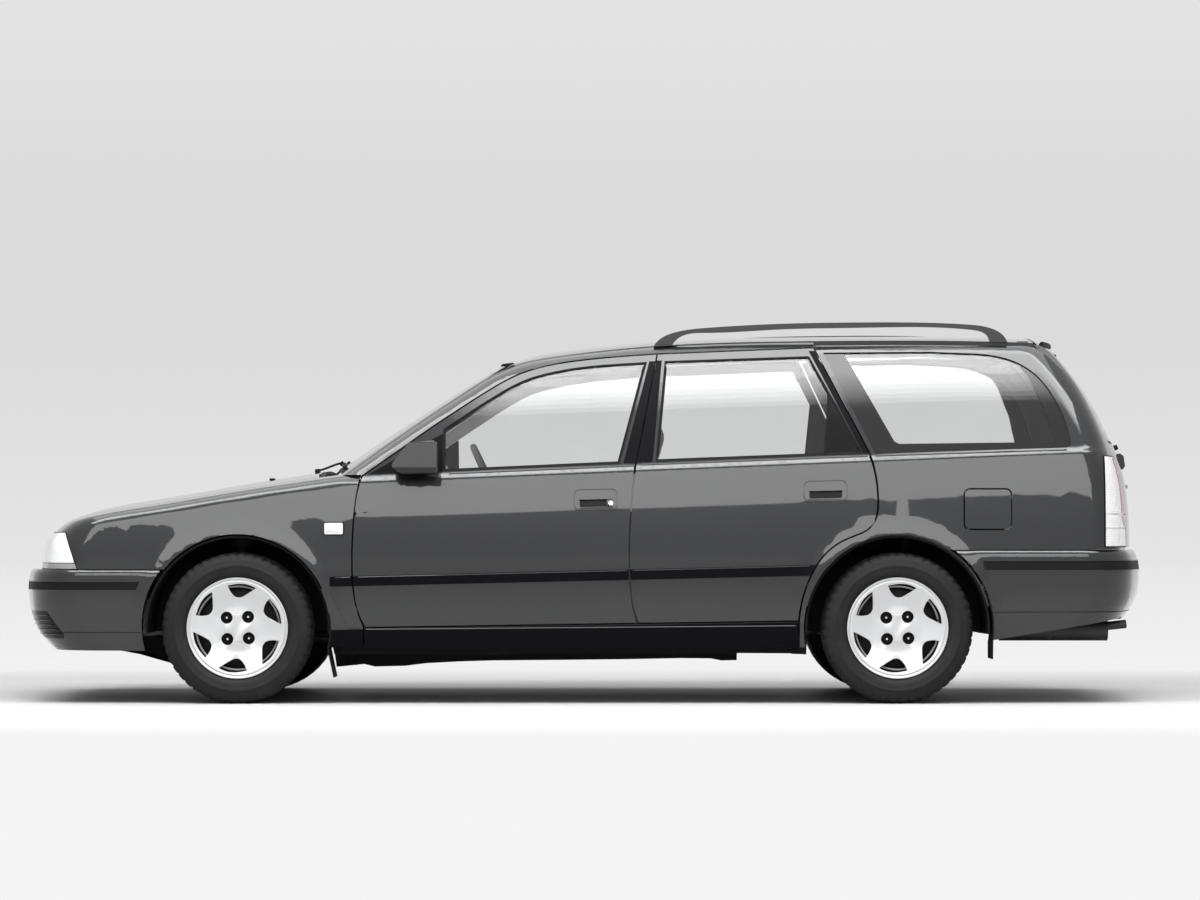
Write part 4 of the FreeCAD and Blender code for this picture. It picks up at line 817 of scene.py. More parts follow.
def seated(form, tree, x, z):  # a form made round the origin, outward -Y, set on the left skin
    spot, normal = onSide(tree, x, z)
    turn = (-normal).to_track_quat("Y", "Z").to_matrix().to_4x4()
    bmesh.ops.transform(form, matrix=Matrix.Translation(spot) @ turn, verts=form.verts)
    return form


def roundedRun(low, high, radius, perCorner=5):  # a rounded rectangle as (a, b) points
    (x0, z0), (x1, z1) = low, high
    points = []
    for cx, cz, start in ((x1 - radius, z1 - radius, 0), (x0 + radius, z1 - radius, 90),
                          (x0 + radius, z0 + radius, 180), (x1 - radius, z0 + radius, 270)):
        for i in range(perCorner + 1):
            angle = math.radians(start + 90 * i / perCorner)
            points.append((cx + radius * math.cos(angle), cz + radius * math.sin(angle)))
    return points


def softened(form, edges, radius, segments=2):
    bmesh.ops.bevel(form, geom=edges, offset=radius, affect="EDGES", segments=segments, profile=0.5, material=-1)
    return form


def extruded(corners, shift):  # a flat face pulled along a vector into a closed solid
    form = bmesh.new()
    face = form.faces.new([form.verts.new(corner) for corner in corners])
    made = bmesh.ops.extrude_face_region(form, geom=[face])["geom"]
    bmesh.ops.translate(form, vec=shift, verts=[g for g in made if isinstance(g, bmesh.types.BMVert)])
    bmesh.ops.recalc_face_normals(form, faces=form.faces)
    return form


def loopPrism(points, low, high):  # a prism over an outline of (x, z) points, along Y
    return extruded([(x, low, z) for x, z in points], (0, high - low, 0))


def plug(points, low, high, soften=0.0):  # a flat piece over an outline of (x, z) points, outward -Y
    form = loopPrism(points, -high, -low)
    if soften:
        softened(form, [edge for edge in form.edges if all(abs(v.co.y + high) < 1e-6 for v in edge.verts)], soften)
    return form


wheelPlaces = {"front": -1.337, "rear": 1.213}
wheelY, wheelZ = 0.733, 0.292


def hubOf(end, side):
    return Vector((wheelPlaces[end], -wheelY if side == "left" else wheelY, wheelZ))


# Tyres

tyreSizes = {
    "sidewall": [(0.1795, 0.068), (0.188, 0.071), (0.196, 0.071), (0.203, 0.081), (0.209, 0.0865), (0.216, 0.0895),
                 (0.226, 0.0918), (0.236, 0.0924), (0.238, 0.0936), (0.243, 0.0936), (0.245, 0.0922),
                 (0.256, 0.0900), (0.264, 0.0874), (0.270, 0.0846)],
    "shoulder": [(0.2745, 0.0822), (0.2800, 0.0785), (0.2850, 0.0735), (0.2888, 0.0665)],
    "ribs": [(0.2918, 0.0560), (0.2920, 0.0450), (0.2845, 0.0435), (0.2845, 0.0375), (0.2920, 0.0360),
             (0.2920, 0.0195), (0.2845, 0.0180), (0.2845, 0.0120), (0.2920, 0.0105)],
    "steps": 240,
    "sipeDepth": 0.0042,
    "ribFloor": 0.290,
    "ribEdge": 0.059,
    "shoulderFoot": 0.2735,
    "slant": 0.03,  # past this width the next row of blocks is turned a step
}


def makeTyre(end, side):
    steps = tyreSizes["steps"]
    half = tyreSizes["sidewall"] + tyreSizes["shoulder"] + tyreSizes["ribs"]
    outline = half + [(r, -w) for r, w in reversed(half)]
    form = turned(outline, steps)
    for vertex in form.verts:
        radius = math.hypot(vertex.co.x, vertex.co.z)
        spread = abs(vertex.co.y)
        turn = round(math.atan2(vertex.co.z, vertex.co.x) / (2 * math.pi) * steps)
        onRib = radius > tyreSizes["ribFloor"] and spread < tyreSizes["ribEdge"]
        onShoulder = radius > tyreSizes["shoulderFoot"] and spread > tyreSizes["ribEdge"]
        row = vertex.co.y / tyreSizes["slant"]
        slant = turn + (2 if row > 1 else 0) + (1 if -1 < row < 0 else 0)
        if (onRib and slant % 5 == 0) or (onShoulder and turn % 5 < 2):
            shrink = (radius - tyreSizes["sipeDepth"]) / radius
            vertex.co.x *= shrink
            vertex.co.z *= shrink
    moved(form, hubOf(end, side))
    piece = addPiece(f"tyreTread_{end}_{side}", form, f"wheel_{end}_{side}", "rubber", sharpAngle=28)
    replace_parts(piece, f"tyre_{end}_{side}")


for end in wheelPlaces:
    for side in sides:
        makeTyre(end, side)
print("tyres made")


# Wheel covers, steel rims and brakes

coverSizes = {
    "outline": [(0.0, 0.058), (0.030, 0.0585), (0.062, 0.058), (0.078, 0.0545), (0.098, 0.0555), (0.125, 0.0625),
                (0.150, 0.0700), (0.168, 0.0745), (0.1795, 0.0775), (0.1835, 0.0765), (0.1850, 0.0745),
                (0.1870, 0.0765), (0.1925, 0.0790), (0.1955, 0.0775), (0.1965, 0.0740), (0.1960, 0.0700),
                (0.1780, 0.0700), (0.1660, 0.0665), (0.1240, 0.0545), (0.098, 0.0475), (0.078, 0.0465),
                (0.0, 0.0500)],
    "opening": [(-0.037, 0.1640), (0.000, 0.1705), (0.036, 0.1690), (0.0690, 0.1560), (0.066, 0.1500),
                (0.0360, 0.1305), (0.0170, 0.1200), (0.0040, 0.1180), (-0.0090, 0.1210), (-0.0200, 0.1310),
                (-0.0300, 0.1460)],
    "nutSpots": 0.0585,
    "nutHole": 0.0235,
    "nutTurn": 47,
}


def nutPlaces():  # (x, z) of the four nuts round the axle
    angles = [math.radians(coverSizes["nutTurn"] + 90 * i) for i in range(4)]
    return [(coverSizes["nutSpots"] * math.cos(angle), coverSizes["nutSpots"] * math.sin(angle)) for angle in angles]


def nutRods(*rows):  # each row is the two depths, the radius, the sides and maybe the far radius
    return join(*(rod((x, start, z), (x, end, z), *sizes) for x, z in nutPlaces() for start, end, *sizes in rows))


def appliedMesh(thing):  # the mesh of an object with its modifiers
    bpy.context.view_layer.update()
    return bpy.data.meshes.new_from_object(thing.evaluated_get(bpy.context.evaluated_depsgraph_get()))


def formOf(mesh):
    form = bmesh.new()
    form.from_mesh(mesh)
    bpy.data.meshes.remove(mesh)
    return form


def carved(body, cutter, softEdge):  # body minus cutter, with softened edges
    target = plainObject("carveBody", body)
    tool = plainObject("carveTool", cutter)
    cut = target.modifiers.new("cut", "BOOLEAN")
    cut.operation = "DIFFERENCE"
    cut.solver = "EXACT"
    cut.object = tool
    soften = target.modifiers.new("soften", "BEVEL")
    soften.width = softEdge
    soften.segments = 2
    soften.limit_method = "ANGLE"
    soften.angle_limit = math.radians(50)
    form = formOf(appliedMesh(target))
    for thing in (target, tool):
        data = thing.data
        bpy.data.objects.remove(thing)
        bpy.data.meshes.remove(data)
    return form


def coverForm():
    body = turned(coverSizes["outline"], 96, close=False)
    loop = [Vector((x, 0, z)) for x, z in coverSizes["opening"]]
    loop = smoothRun([*loop, loop[0]], 3)[:-1]
    cutters = []
    for i in range(6):
        points = [Matrix.Rotation(math.radians(60 * i), 3, "Y") @ point for point in loop]
        cutters.append(loopPrism([(p.x, p.z) for p in points], -0.10, -0.035))
    return carved(body, join(*cutters, nutRods((-0.1, -0.03, coverSizes["nutHole"], 28))), 0.0022)


def capForm():  # the bare square-cornered centre panel between the nuts
    form = bmesh.new()
    bmesh.ops.create_cube(form, size=1)
    bmesh.ops.scale(form, vec=(0.104, 0.006, 0.104), verts=form.verts)
    softened(form, [e for e in form.edges if abs((e.verts[0].co - e.verts[1].co).y) > 0.001], 0.016, 6)
    softened(form, [e for e in form.edges if all(v.co.y < 0 for v in e.verts)], 0.0016)
    return moved(carved(form, nutRods((-0.05, 0.05, coverSizes["nutHole"] + 0.0025, 28)), 0.0008), (0, -0.0570, 0))


rimSizes = {
    "barrel": [(0.1968, 0.0765), (0.1940, 0.0775), (0.1905, 0.0740), (0.1790, 0.0705), (0.1785, 0.0500),
               (0.1600, 0.0400), (0.1600, -0.0400), (0.1785, -0.0500), (0.1790, -0.0705), (0.1940, -0.0775),
               (0.1965, -0.0770), (0.1965, -0.0740), (0.1820, -0.0670), (0.1815, -0.0520), (0.1640, -0.0420),
               (0.1640, 0.0400), (0.1815, 0.0520), (0.1820, 0.0675), (0.1950, 0.0735)],
    "disc": [(0.0, 0.030), (0.070, 0.030), (0.085, 0.022), (0.120, 0.026), (0.160, 0.012), (0.160, 0.006),
             (0.118, 0.018), (0.084, 0.014), (0.068, 0.022), (0.0, 0.022)],
    "edge": [(0.1575, 0.0440), (0.1620, 0.0455), (0.1640, 0.0500), (0.1615, 0.0512), (0.1590, 0.0480)],
    "drum": [(0.0, 0.004), (0.118, 0.004), (0.126, -0.002), (0.126, -0.020), (0.132, -0.022), (0.132, -0.030),
             (0.0, -0.030)],
    "valve": [(0.150, -0.062, 0.030), (0.152, -0.070, 0.030), (0.156, -0.078, 0.031)],
    "nut": 0.0105,
}


def makeWheel(end, side):
    def put(name, form, finish, sharpAngle=35):
        if side == "right":
            form = otherSide(form)
        return addPiece(f"{name}_{end}_{side}", moved(form, hubOf(end, side)), f"wheel_{end}_{side}", finish,
                        sharpAngle)

    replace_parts(put("wheelCover", coverForm(), "wheelPaint", sharpAngle=28), f"wheel_{end}_{side}")
    put("wheelCap", capForm(), "wheelPaint")
    # painted shade: the steel rim seen through the cover's openings is coloured black so that the openings look dark
    rim = join(turned(rimSizes["barrel"], 96), turned(rimSizes["disc"], 64, close=False))
    put("steelRimShadeBlack", rim, "chassisBlack")
    # painted shade: the nuts and a disc round each are black, which darkens the nut holes
    nut = rimSizes["nut"]
    nuts = nutRods((-0.030, -0.046, nut, 6), (-0.046, -0.0485, nut * 0.86, 16, 0.005), (-0.0295, -0.0315, 0.0225, 28))
    put("wheelNutsShadeBlack", nuts, "blackTrim")
    put("nutTips", nutRods((-0.0475, -0.0500, 0.0048, 16, 0.0038)), "chrome")
    put("rimEdge", turned(rimSizes["edge"], 96), "wheelPaint", sharpAngle=60)
    put("brake", turned(rimSizes["drum"], 64, close=False), "chassisBlack")
    put("valve", tube(rimSizes["valve"], 0.0035, 8, 3), "blackRubber")


for end in wheelPlaces:
    for side in sides:
        makeWheel(end, side)
print("wheels made")


# Rubber round the windows

facingSide = (0, -1, 0)
facingTail = (0.9, 0, 0.42)
facingScreen = (-0.84, 0, 0.54)
sealOutline = [(-0.0012, -0.0006), (0.0105, -0.0006), (0.0105, 0.0012), (0.0060, 0.0030), (-0.0012, 0.0042)]
screenOutline = [(-0.0015, -0.0006), (0.0210, -0.0006), (0.0210, 0.0008), (0.0080, 0.0032), (-0.0015, 0.0042)]
for end in wheelPlaces:
    seal = sealRound(f"{end}_door_glass_left", facingSide, sealOutline)
    addPair(f"{end}DoorSeal", seal, doorsOf(end), "blackRubber")
addBoth("quarterSeal", sealRound("quarter_glass", facingSide, sealOutline), "body", "blackRubber")
addPiece("screenSeal", sealRound("windscreen", facingScreen, screenOutline), "body", "blackRubber")
addPiece("gateSeal", sealRound("tailgate_glass", facingTail, sealOutline), "tailgate", "blackRubber")

lightCorners = [(0.9545, 1.1990), (0.9354, 0.9585), (1.10, 0.955), (1.10, 1.00)]  # the rear door's fixed light
rearLight = clipped(outerFaces(["rear_door_glass_left"], facingSide), lightCorners)
addPair("rearLightPanel", thickened(rearLight, 0.0006, 0.0005), doorsOf("rear"), "glossBlack")
lightEdge = sideLoop(treeOf("rear_door_glass_left"), evenly((0.9354, 0.962), (0.9545, 1.191), 8))
addPair("rearLightBar", sweep(*lightEdge, bar(0.013, 0.0045)), doorsOf("rear"), "blackRubber")
print("window rubber made")


# Bumper strips

bumpers = {
    "front": {"band": (0.439, 0.470), "ends": (-1.731, -1.715), "split": (0.2735, -1.715), "far": -2.5, "bend": -1.55},
    "rear": {"band": (0.5165, 0.551), "ends": (1.549, 1.541), "split": (0.3535, 1.500), "far": 2.5, "bend": 1.45},
}
stripLip = 0.0055
splitHalf = 0.0013


def bumperSheet(end, corners):
    bend = bumpers[end]["bend"]
    return clipped(outerFaces([f"{end}_bumper"], lambda c: Vector((c.x - bend, c.y * 0.9, 0))), corners)


def bumperBand(end, low, high, ends, lift, depth):  # the bumper's skin between two heights
    foot, top = ends
    far = bumpers[end]["far"]
    return thickened(bumperSheet(end, [(foot, low), (top, high), (far, high), (far, low)]), lift, depth)


for end, sizes in bumpers.items():
    (low, high), ends = sizes["band"], sizes["ends"]
    addPiece(f"{end}BumperStrip", bumperBand(end, low, high, ends, 0.0012, 0.002), "body", "blackTrim")
    lips = [bumperBand(end, foot, foot + stripLip, ends, 0.0040, 0.005) for foot in (low - stripLip, high)]
    addPiece(f"{end}BumperLips", join(*lips), "body", "paint")
print("bumper strips made")


# Bright beads below the windows, handles, markers and mirrors

beadOutline = [(-0.0030, -0.0012), (-0.0031, 0.0008), (-0.0022, 0.0026), (0.0, 0.0034), (0.0022, 0.0026),
               (0.0031, 0.0008), (0.0030, -0.0012)]
beadLines = {
    "front": ((-0.520, 0.8885), (0.196, 0.9195)),
    "rear": ((0.222, 0.9232), (1.098, 0.9567)),
    "quarter": ((1.128, 0.9580), (1.872, 0.9815)),
}
doorTrees = {end: treeOf(f"{end}_door_left") for end in wheelPlaces}
for end, tree in doorTrees.items():
    addPair(f"{end}Bead", sweep(*sideLine(tree, *beadLines[end]), beadOutline), doorsOf(end), "paint")
bead = sweep(*sideLine(treeOf("quarter_panel_left"), *beadLines["quarter"]), beadOutline)
addBoth("quarterBead", bead, "body", "paint")

handlePlaces = {"front": (0.048, 0.791), "rear": (0.935, 0.824)}
for end, (x, z) in handlePlaces.items():
    loop = [(a, b + (a - x) * 0.023) for a, b in roundedRun((x - 0.084, z - 0.041), (x + 0.081, z + 0.037), 0.020)]
    bezel = sweep(*sideLoop(doorTrees[end], loop), bar(0.0036, 0.0024), closed=True)
    addPair(f"{end}HandleBezel", bezel, doorsOf(end), "paint")
    # painted shade: a black patch laid in the handle's recess, where the opening under the flap falls into shade
    wellShade = plug(roundedRun((-0.0625, -0.0155), (0.0625, 0.0150), 0.006), -0.001, 0.0008)
    addPair(f"{end}HandleWell", seated(wellShade, doorTrees[end], x, z - 0.0175), doorsOf(end), "glossBlack")
lockPlace = (0.1265, 0.7745)
boss = plug(roundedRun((-0.037, -0.0150), (-0.0115, 0.0150), 0.004), -0.021, 0.0002, 0.001)
addPair("lockBoss", seated(boss, doorTrees["front"], *lockPlace), doorsOf("front"), "paint")
barrel = join(rod((-0.0215, 0.002, 0), (-0.0215, -0.0022, 0), 0.0085, 28),
              rod((-0.0215, -0.0018, 0), (-0.0215, -0.0030, 0), 0.0060, 24, 0.0054))
addPair("doorLock", seated(barrel, doorTrees["front"], *lockPlace), doorsOf("front"), "chrome")


def marker(x, z, corner, low, high, soften=0.0):  # a flat rounded block round the marker lamp's middle
    return seated(plug(roundedRun((-x, -z), (x, z), corner), low, high, soften), wingTree, -0.9635, 0.676)


wingTree = treeOf("wing_left")
addBoth("markerFrame", marker(0.0400, 0.0260, 0.008, -0.006, 0.0008), "body", "glossBlack")
lens = join(marker(0.0360, 0.0220, 0.006, -0.001, 0.0034, 0.0014),
            marker(0.0245, 0.0105, 0.003, 0.003, 0.0048, 0.0009))
addBoth("markerLens", lens, "body", "lensWhite")

paneCorners = [(-0.962, 0.912), (-0.952, 0.997), (-0.837, 0.997), (-0.837, 0.903), (-0.948, 0.903)]
mirrorPane = extruded([(-0.5720, y, z) for y, z in paneCorners], (0.003, 0, 0))
addPair("mirrorPane", mirrorPane, doorsOf("front"), "mirrorSilver")
print("handles, markers and mirrors made")


# Front lamps and bumper intakes

def square(low, high):
    return [low, (high[0], low[1]), high, (low[0], high[1])]


def bandOf(sheet, low, high, lift, depth):  # what lies between two heights, as a thin solid
    return thickened(clipped(sheet.copy(), square((-3, low), (3, high))), lift, depth)


def without(sheet, dropped):
    gone = [face for face in sheet.faces if dropped(face.calc_center_median())]
    bmesh.ops.delete(sheet, geom=gone, context="FACES")
    return sheet


def leftLamp(name, facing):
    return without(outerFaces([name], facing, 0.2), lambda c: c.y > 0)


lampSheet = leftLamp("headlamps", (-1, -0.7, 0.1))
lampSplit = 0.5425
addBoth("headLens", bandOf(lampSheet, lampSplit + 0.0015, 0.658, 0.0030, 0.0022), "body", "lensBright")
addBoth("headStrip", bandOf(lampSheet, 0.5205, lampSplit - 0.0015, 0.0034, 0.0026), "body", "lensGrey")
addBoth("headSplit", bandOf(lampSheet, lampSplit - 0.0016, lampSplit + 0.0016, 0.0016, 0.0012), "body", "glossBlack")
addBoth("headFrame", sweep(*rimLoop(lampSheet), bar(0.0052, 0.0030), closed=True), "body", "blackRubber")
lampSheet.free()

for end, sizes in bumpers.items():
    z, foot = sizes["split"]
    split = bumperBand(end, z - splitHalf, z + splitHalf, (foot, foot), 0.0005, 0.0008)
    addPiece(f"{end}BumperSplit", split, "body", "blackRubber")

intake = {"top": 0.356, "foot": 0.2494, "edge": [(-2.088, 0.356), (-2.0196, 0.2676), (-2.0196, 0.2494)],
          "inner": -0.475, "louvre": [(-0.0032, -0.001), (0.0036, -0.001), (0.0012, 0.0075), (-0.0014, 0.0075)]}
# painted shade: a black sheet laid on the unbroken bumper skin stands for the intake's dark opening behind the louvres
sheet = bumperSheet("front", [(-3, intake["top"]), *intake["edge"], (-3, intake["foot"])])
clipped(sheet, square((-2, 0), (intake["inner"], 1)), "yz")
addBoth("cornerIntakeShade", thickened(sheet, 0.0009, 0.0006), "body", "glossBlack")
bumperTree = treeOf("front_bumper")


def onBend(z, degrees):  # the bumper's corner, met by a level ray towards the middle of its bend
    way = Vector((math.cos(math.radians(degrees)), math.sin(math.radians(degrees)), 0))
    return bumperTree.ray_cast(Vector((-1.75, -0.35, z)) - way * 2, way)[:2]


def louvre(z):
    (topX, topZ), (footX, footZ) = intake["edge"][:2]
    edge = footX + (z - footZ) / (topZ - footZ) * (topX - footX)
    spots = [onBend(z, 8 + 1.6 * step) for step in range(41)]
    spots = [(spot, out) for spot, out in spots if spot and spot.y < intake["inner"] - 0.004 and spot.x < edge - 0.005]
    return sweep([spot for spot, _ in spots], [out for _, out in spots], intake["louvre"])


addBoth("intakeLouvres", join(*(louvre(0.2680 + 0.0180 * i) for i in range(5))), "body", "paint")
print("front lamps and intakes made")


# Rear lamps, wipers and trim

tailSheet = leftLamp("tail_lamps", (0.8, -0.6, 0.15))
for name, low, high in (("tailUpper", 0.7340, 0.9560), ("tailMiddle", 0.6795, 0.7310), ("tailLower", 0.6080, 0.6765)):
    addBoth(name, bandOf(tailSheet, low, high, 0.0032, 0.0024), "body", "lensPale")
addBoth("tailFrame", sweep(*rimLoop(tailSheet), bar(0.0052, 0.0036), closed=True), "body", "blackRubber")
without(tailSheet, lambda c: c.y < -0.625)  # the coloured lenses face the rear
addBoth("tailRed", bandOf(tailSheet, 0.738, 0.950, 0.0044, 0.0012), "body", "lampRed")
addBoth("tailAmber", bandOf(tailSheet, 0.684, 0.727, 0.0044, 0.0012), "body", "lampAmber")
tailSheet.free()

screenTree = treeOf("windscreen", "scuttle", "bonnet", "body_side_left", "body_side_right")
gateTree = treeOf("tailgate", "tailgate_glass")


def onScreen(y, z):
    return screenTree.ray_cast(Vector((-4, y, z)), Vector((1, 0, 0)))[:2]


def onGate(y, z):
    return gateTree.ray_cast(Vector((4, y, z)), Vector((-1, 0, 0)))[:2]


def makeWiper(name, place, body, pivot, blade, armLift):  # the pivot and both ends of the blade are (y, z)
    run, outs = runOn(place, evenly(*blade, 24))
    rubber = sweep(run, outs, [(-0.0035, 0.0006), (0.0035, 0.0006), (0.0022, 0.0110), (-0.0022, 0.0110)])
    spine = sweep(run[2:-2], outs[2:-2], [(-0.0060, 0.0105), (0.0060, 0.0105), (0.0045, 0.0155), (-0.0045, 0.0155)])
    foot, footOut = place(*pivot)
    out = outs[12]
    middle = run[12] + out * 0.021
    arm = tube([foot + footOut * armLift, foot.lerp(middle, 0.35) + out * (armLift * 0.6),
                foot.lerp(middle, 0.8) + out * 0.004, middle], 0.0048, 8)
    cap = rod(foot - footOut * 0.004, foot + footOut * (armLift + 0.008), 0.013, 20, 0.010)
    yoke = rod(middle - out * 0.010, middle + out * 0.006, 0.009, 12)
    addPiece(name, join(rubber, spine, arm, cap, yoke), body, "blackTrim")


makeWiper("leftWiper", onScreen, "body", (-0.02, 0.9000), ((-0.600, 0.9080), (-0.085, 0.9300)), 0.010)
makeWiper("rightWiper", onScreen, "body", (0.53, 0.8850), ((0.460, 0.9080), (-0.040, 0.9380)), 0.010)
makeWiper("rearWiper", onGate, "tailgate", (0.0, 0.9960), ((0.060, 1.0300), (0.420, 1.0300)), 0.024)

gateLip = sweep(*runOn(onGate, evenly((-0.50, 1.3990), (0.50, 1.3990), 30)),
                [(-0.008, -0.002), (0.008, -0.002), (0.010, 0.010), (0.004, 0.016), (-0.004, 0.012)])
addPiece("gateLip", gateLip, "tailgate", "blackTrim")
run = runOn(onGate, evenly((-0.24, 0.9420), (0.24, 0.9420), 24))[0]
garnish = sweep(run, (1, 0, 0.1), [(-0.034, -0.010), (0.034, -0.010), (0.030, 0.012), (0.018, 0.022),
                                   (-0.022, 0.020), (-0.034, 0.008)])
addPiece("gateHandle", garnish, "tailgate", "paint")


def block(x, y, z, half, soften, segments=2):  # a box over two x and two z, as far to both sides of y
    return softBox((x[0], y - half, z[0]), (x[1], y + half, z[1]), soften, segments)


lampX = onGate(0, 0.8450)[0].x
plateLamps = [block((lampX - 0.008, lampX + 0.010), y, (0.838, 0.852), 0.03, 0.002) for y in (-0.10, 0.10)]
addPiece("plateLamps", join(*plateLamps), "tailgate", "lensGrey")
print("rear lamps, wipers and trim made")


# Lower corner of the wing, behind the front wheel

wheelCentre = (wheelPlaces["front"], wheelZ)
archRadius = math.dist((-1.0125, 0.443), wheelCentre)
sillTree = treeOf("front_door_left", "body_side_left")
sillX = -0.80
sillRun = [(z, onSide(sillTree, sillX, z)[0].y)
           for z in (0.217, 0.235, 0.255, 0.275, 0.287, 0.305, 0.330, 0.360, 0.400, 0.445)]
sillStep = onSide(sillTree, sillX, 0.42)[0].y


def cornerY(x, z):  # the side's own section carried forward to the wing
    over = next((i for i, (height, _) in enumerate(sillRun) if height >= z), len(sillRun) - 1)
    (z0, y0), (z1, y1) = sillRun[max(over, 1) - 1], sillRun[max(over, 1)]
    wingY = onSide(wingTree, min(max(x, -0.985), -0.900), 0.42)[0].y
    return y0 + (y1 - y0) * (z - z0) / (z1 - z0) + wingY - sillStep


def patched(rows):  # a skin over rows of spots that faces the left
    form = bmesh.new()
    rows = [[form.verts.new(spot) for spot in row] for row in rows]
    for one, two in zip(rows, rows[1:]):
        for k in range(len(one) - 1):
            form.faces.new((one[k], one[k + 1], two[k + 1], two[k]))
    bmesh.ops.recalc_face_normals(form, faces=form.faces)
    if sum(face.normal.y for face in form.faces) > 0:
        bmesh.ops.reverse_faces(form, faces=form.faces)
    return form


def cornerSheet(heights, endX, lift):
    rows = []
    for z in heights:
        low = wheelCentre[0] + math.sqrt(archRadius ** 2 - (z - wheelCentre[1]) ** 2)
        rows.append([(x, cornerY(x, z) - lift, z) for x, in evenly((low,), (endX(z),), 8)])
    return thickened(patched(rows), 0.0, 0.007)


def doorEdge(z):
    return -0.8745 + 0.0215 * max(0.0, min(1.0, (0.352 - z) / 0.055))


def guardEdge(z):
    return -0.988 + (0.443 - z) / 0.1545 * 0.0755


corner = cornerSheet([0.2175 + 0.0130 * i for i in range(13)], doorEdge, 0.0004)
addBoth("wingCorner", corner, "body", "paintGuard")
guard = cornerSheet([0.2885 + 0.01545 * i for i in range(11)], guardEdge, 0.0032)
addBoth("wingGuard", guard, "body", "paintGuard")
edge = [(-1.010, 0.4440), (-0.988, 0.4435), *((guardEdge(z), z) for z in (0.42, 0.39, 0.36, 0.33, 0.30, 0.2890)),
        (-0.856, 0.2885)]
run = [Vector((x, cornerY(x, z) - 0.0030, z)) for x, z in edge]
edge = sweep(run, (0, -1, 0), [(-0.0018, -0.004), (0.0018, -0.004), (0.0012, 0.0014), (-0.0012, 0.0014)])
addBoth("wingGuardEdge", edge, "body", "paint")
print("wing corners made")


# Linings of the cabin

def lined(name, facing, corners, lift, depth, least=0.4, plane="xz"):
    return thickened(clipped(outerFaces([name], facing, least), corners, plane), lift, depth)


headliner = lined("roof_panel", (0, 0, -1), square((-3, 0), (3, 2)), 0.004, 0.003)
addPiece("headliner", headliner, "body", "headCloth")
rail = lined("body_side_left", (0, 1, -0.35), [(-0.90, 0.955), (1.2, 0.985), (1.2, 1.6), (-0.90, 1.6)], 0.0035, 0.0025)
addBoth("railLining", rail, "body", "cabinPale")
quarterLinings = {
    "quarterLining": (-0.1, (1.10, 0.44), (2.05, 0.93), "cabinPlastic"),
    "pillarLining": (-0.2, (0.90, 0.93), (2.10, 1.325), "cabinPlastic"),
    "eavesLining": (-0.2, (0.90, 1.325), (2.10, 1.5), "cabinPale"),
}
for name, (tilt, low, high, finish) in quarterLinings.items():
    addBoth(name, lined("quarter_panel_left", (0, 1, tilt), square(low, high), 0.0035, 0.0025), "body", finish)
carpet = lined("floor_pan", (0, 0, 1), square((-0.945, 0.2), (2.05, 0.9)), 0.006, 0.005, 0.25)
addPiece("floorCarpet", carpet, "body", "carpet")
gateCard = lined("tailgate", (-0.9, 0, -0.3), [(-0.50, 0.60), (0.50, 0.60), (0.52, 0.985), (-0.52, 0.985)],
                 0.004, 0.003, 0.5, "yz")
addPiece("gateCard", gateCard, "tailgate", "cabinPlastic")

cards = {
    "front": {
        "card": [(-0.80, 0.355), (-0.80, 0.880), (0.150, 0.915), (0.150, 0.355)],
        "cloth": [(-0.62, 0.690), (-0.60, 0.835), (0.10, 0.865), (0.10, 0.690)],
        "arm": (-0.50, 0.04),
        "pocket": (-0.70, -0.08),
    },
    "rear": {
        "card": [(0.265, 0.365), (0.265, 0.922), (1.06, 0.950), (1.06, 0.720), (0.80, 0.365)],
        "cloth": [(0.32, 0.700), (0.32, 0.870), (1.00, 0.895), (1.00, 0.740), (0.96, 0.700)],
        "arm": (0.36, 0.84),
        "pocket": (0.32, 0.70),
    },
}
armOutline = [(-0.024, 0.001), (0.022, 0.001), (0.023, 0.034), (0.016, 0.046), (-0.006, 0.047), (-0.018, 0.034)]
pocketOutline = [(-0.060, 0.001), (0.055, 0.001), (0.058, 0.026), (0.050, 0.030), (-0.052, 0.026), (-0.060, 0.018)]


def around(spot, low, high):  # a box over two corners counted from a spot
    return softBox(spot + Vector(low), spot + Vector(high), 0.003)


for end, card in cards.items():
    tree, door, bodies = doorTrees[end], f"{end}_door_left", doorsOf(end)
    addPair(f"{end}Card", lined(door, (0, 1, 0), card["card"], 0.004, 0.003, 0.6), bodies, "cabinPlastic")
    addPair(f"{end}CardCloth", lined(door, (0, 1, 0), card["cloth"], 0.0075, 0.0035, 0.6), bodies, "seatCloth")
    parts = join(sweep(*insideRun(tree, *card["arm"], 0.645), armOutline),
                 sweep(*insideRun(tree, *card["pocket"], 0.440), pocketOutline))
    addPair(f"{end}CardParts", parts, bodies, "cabinPlastic", sharpAngle=30)
    start = card["arm"][0]
    spot, out = within(tree, start + 0.28, 0.600)
    knob = spot + Vector((-0.085, 0, -0.020))
    winder = join(rod(spot + out * 0.002, spot + out * 0.018, 0.026, 28, 0.021),
                  rod(spot + out * 0.016, knob + out * 0.026, 0.0075, 12),
                  rod(knob + out * 0.024, knob + out * 0.052, 0.0105, 18, 0.012))
    spot = within(tree, start - 0.04, 0.735)[0]
    opener = join(around(spot, (-0.040, 0.003, -0.017), (0.040, 0.011, 0.017)),
                  around(spot, (-0.028, 0.009, -0.009), (0.030, 0.020, 0.007)))
    addPair(f"{end}CardHandles", join(winder, opener), bodies, "blackTrim")
print("linings made")


# Dashboard, controls and console

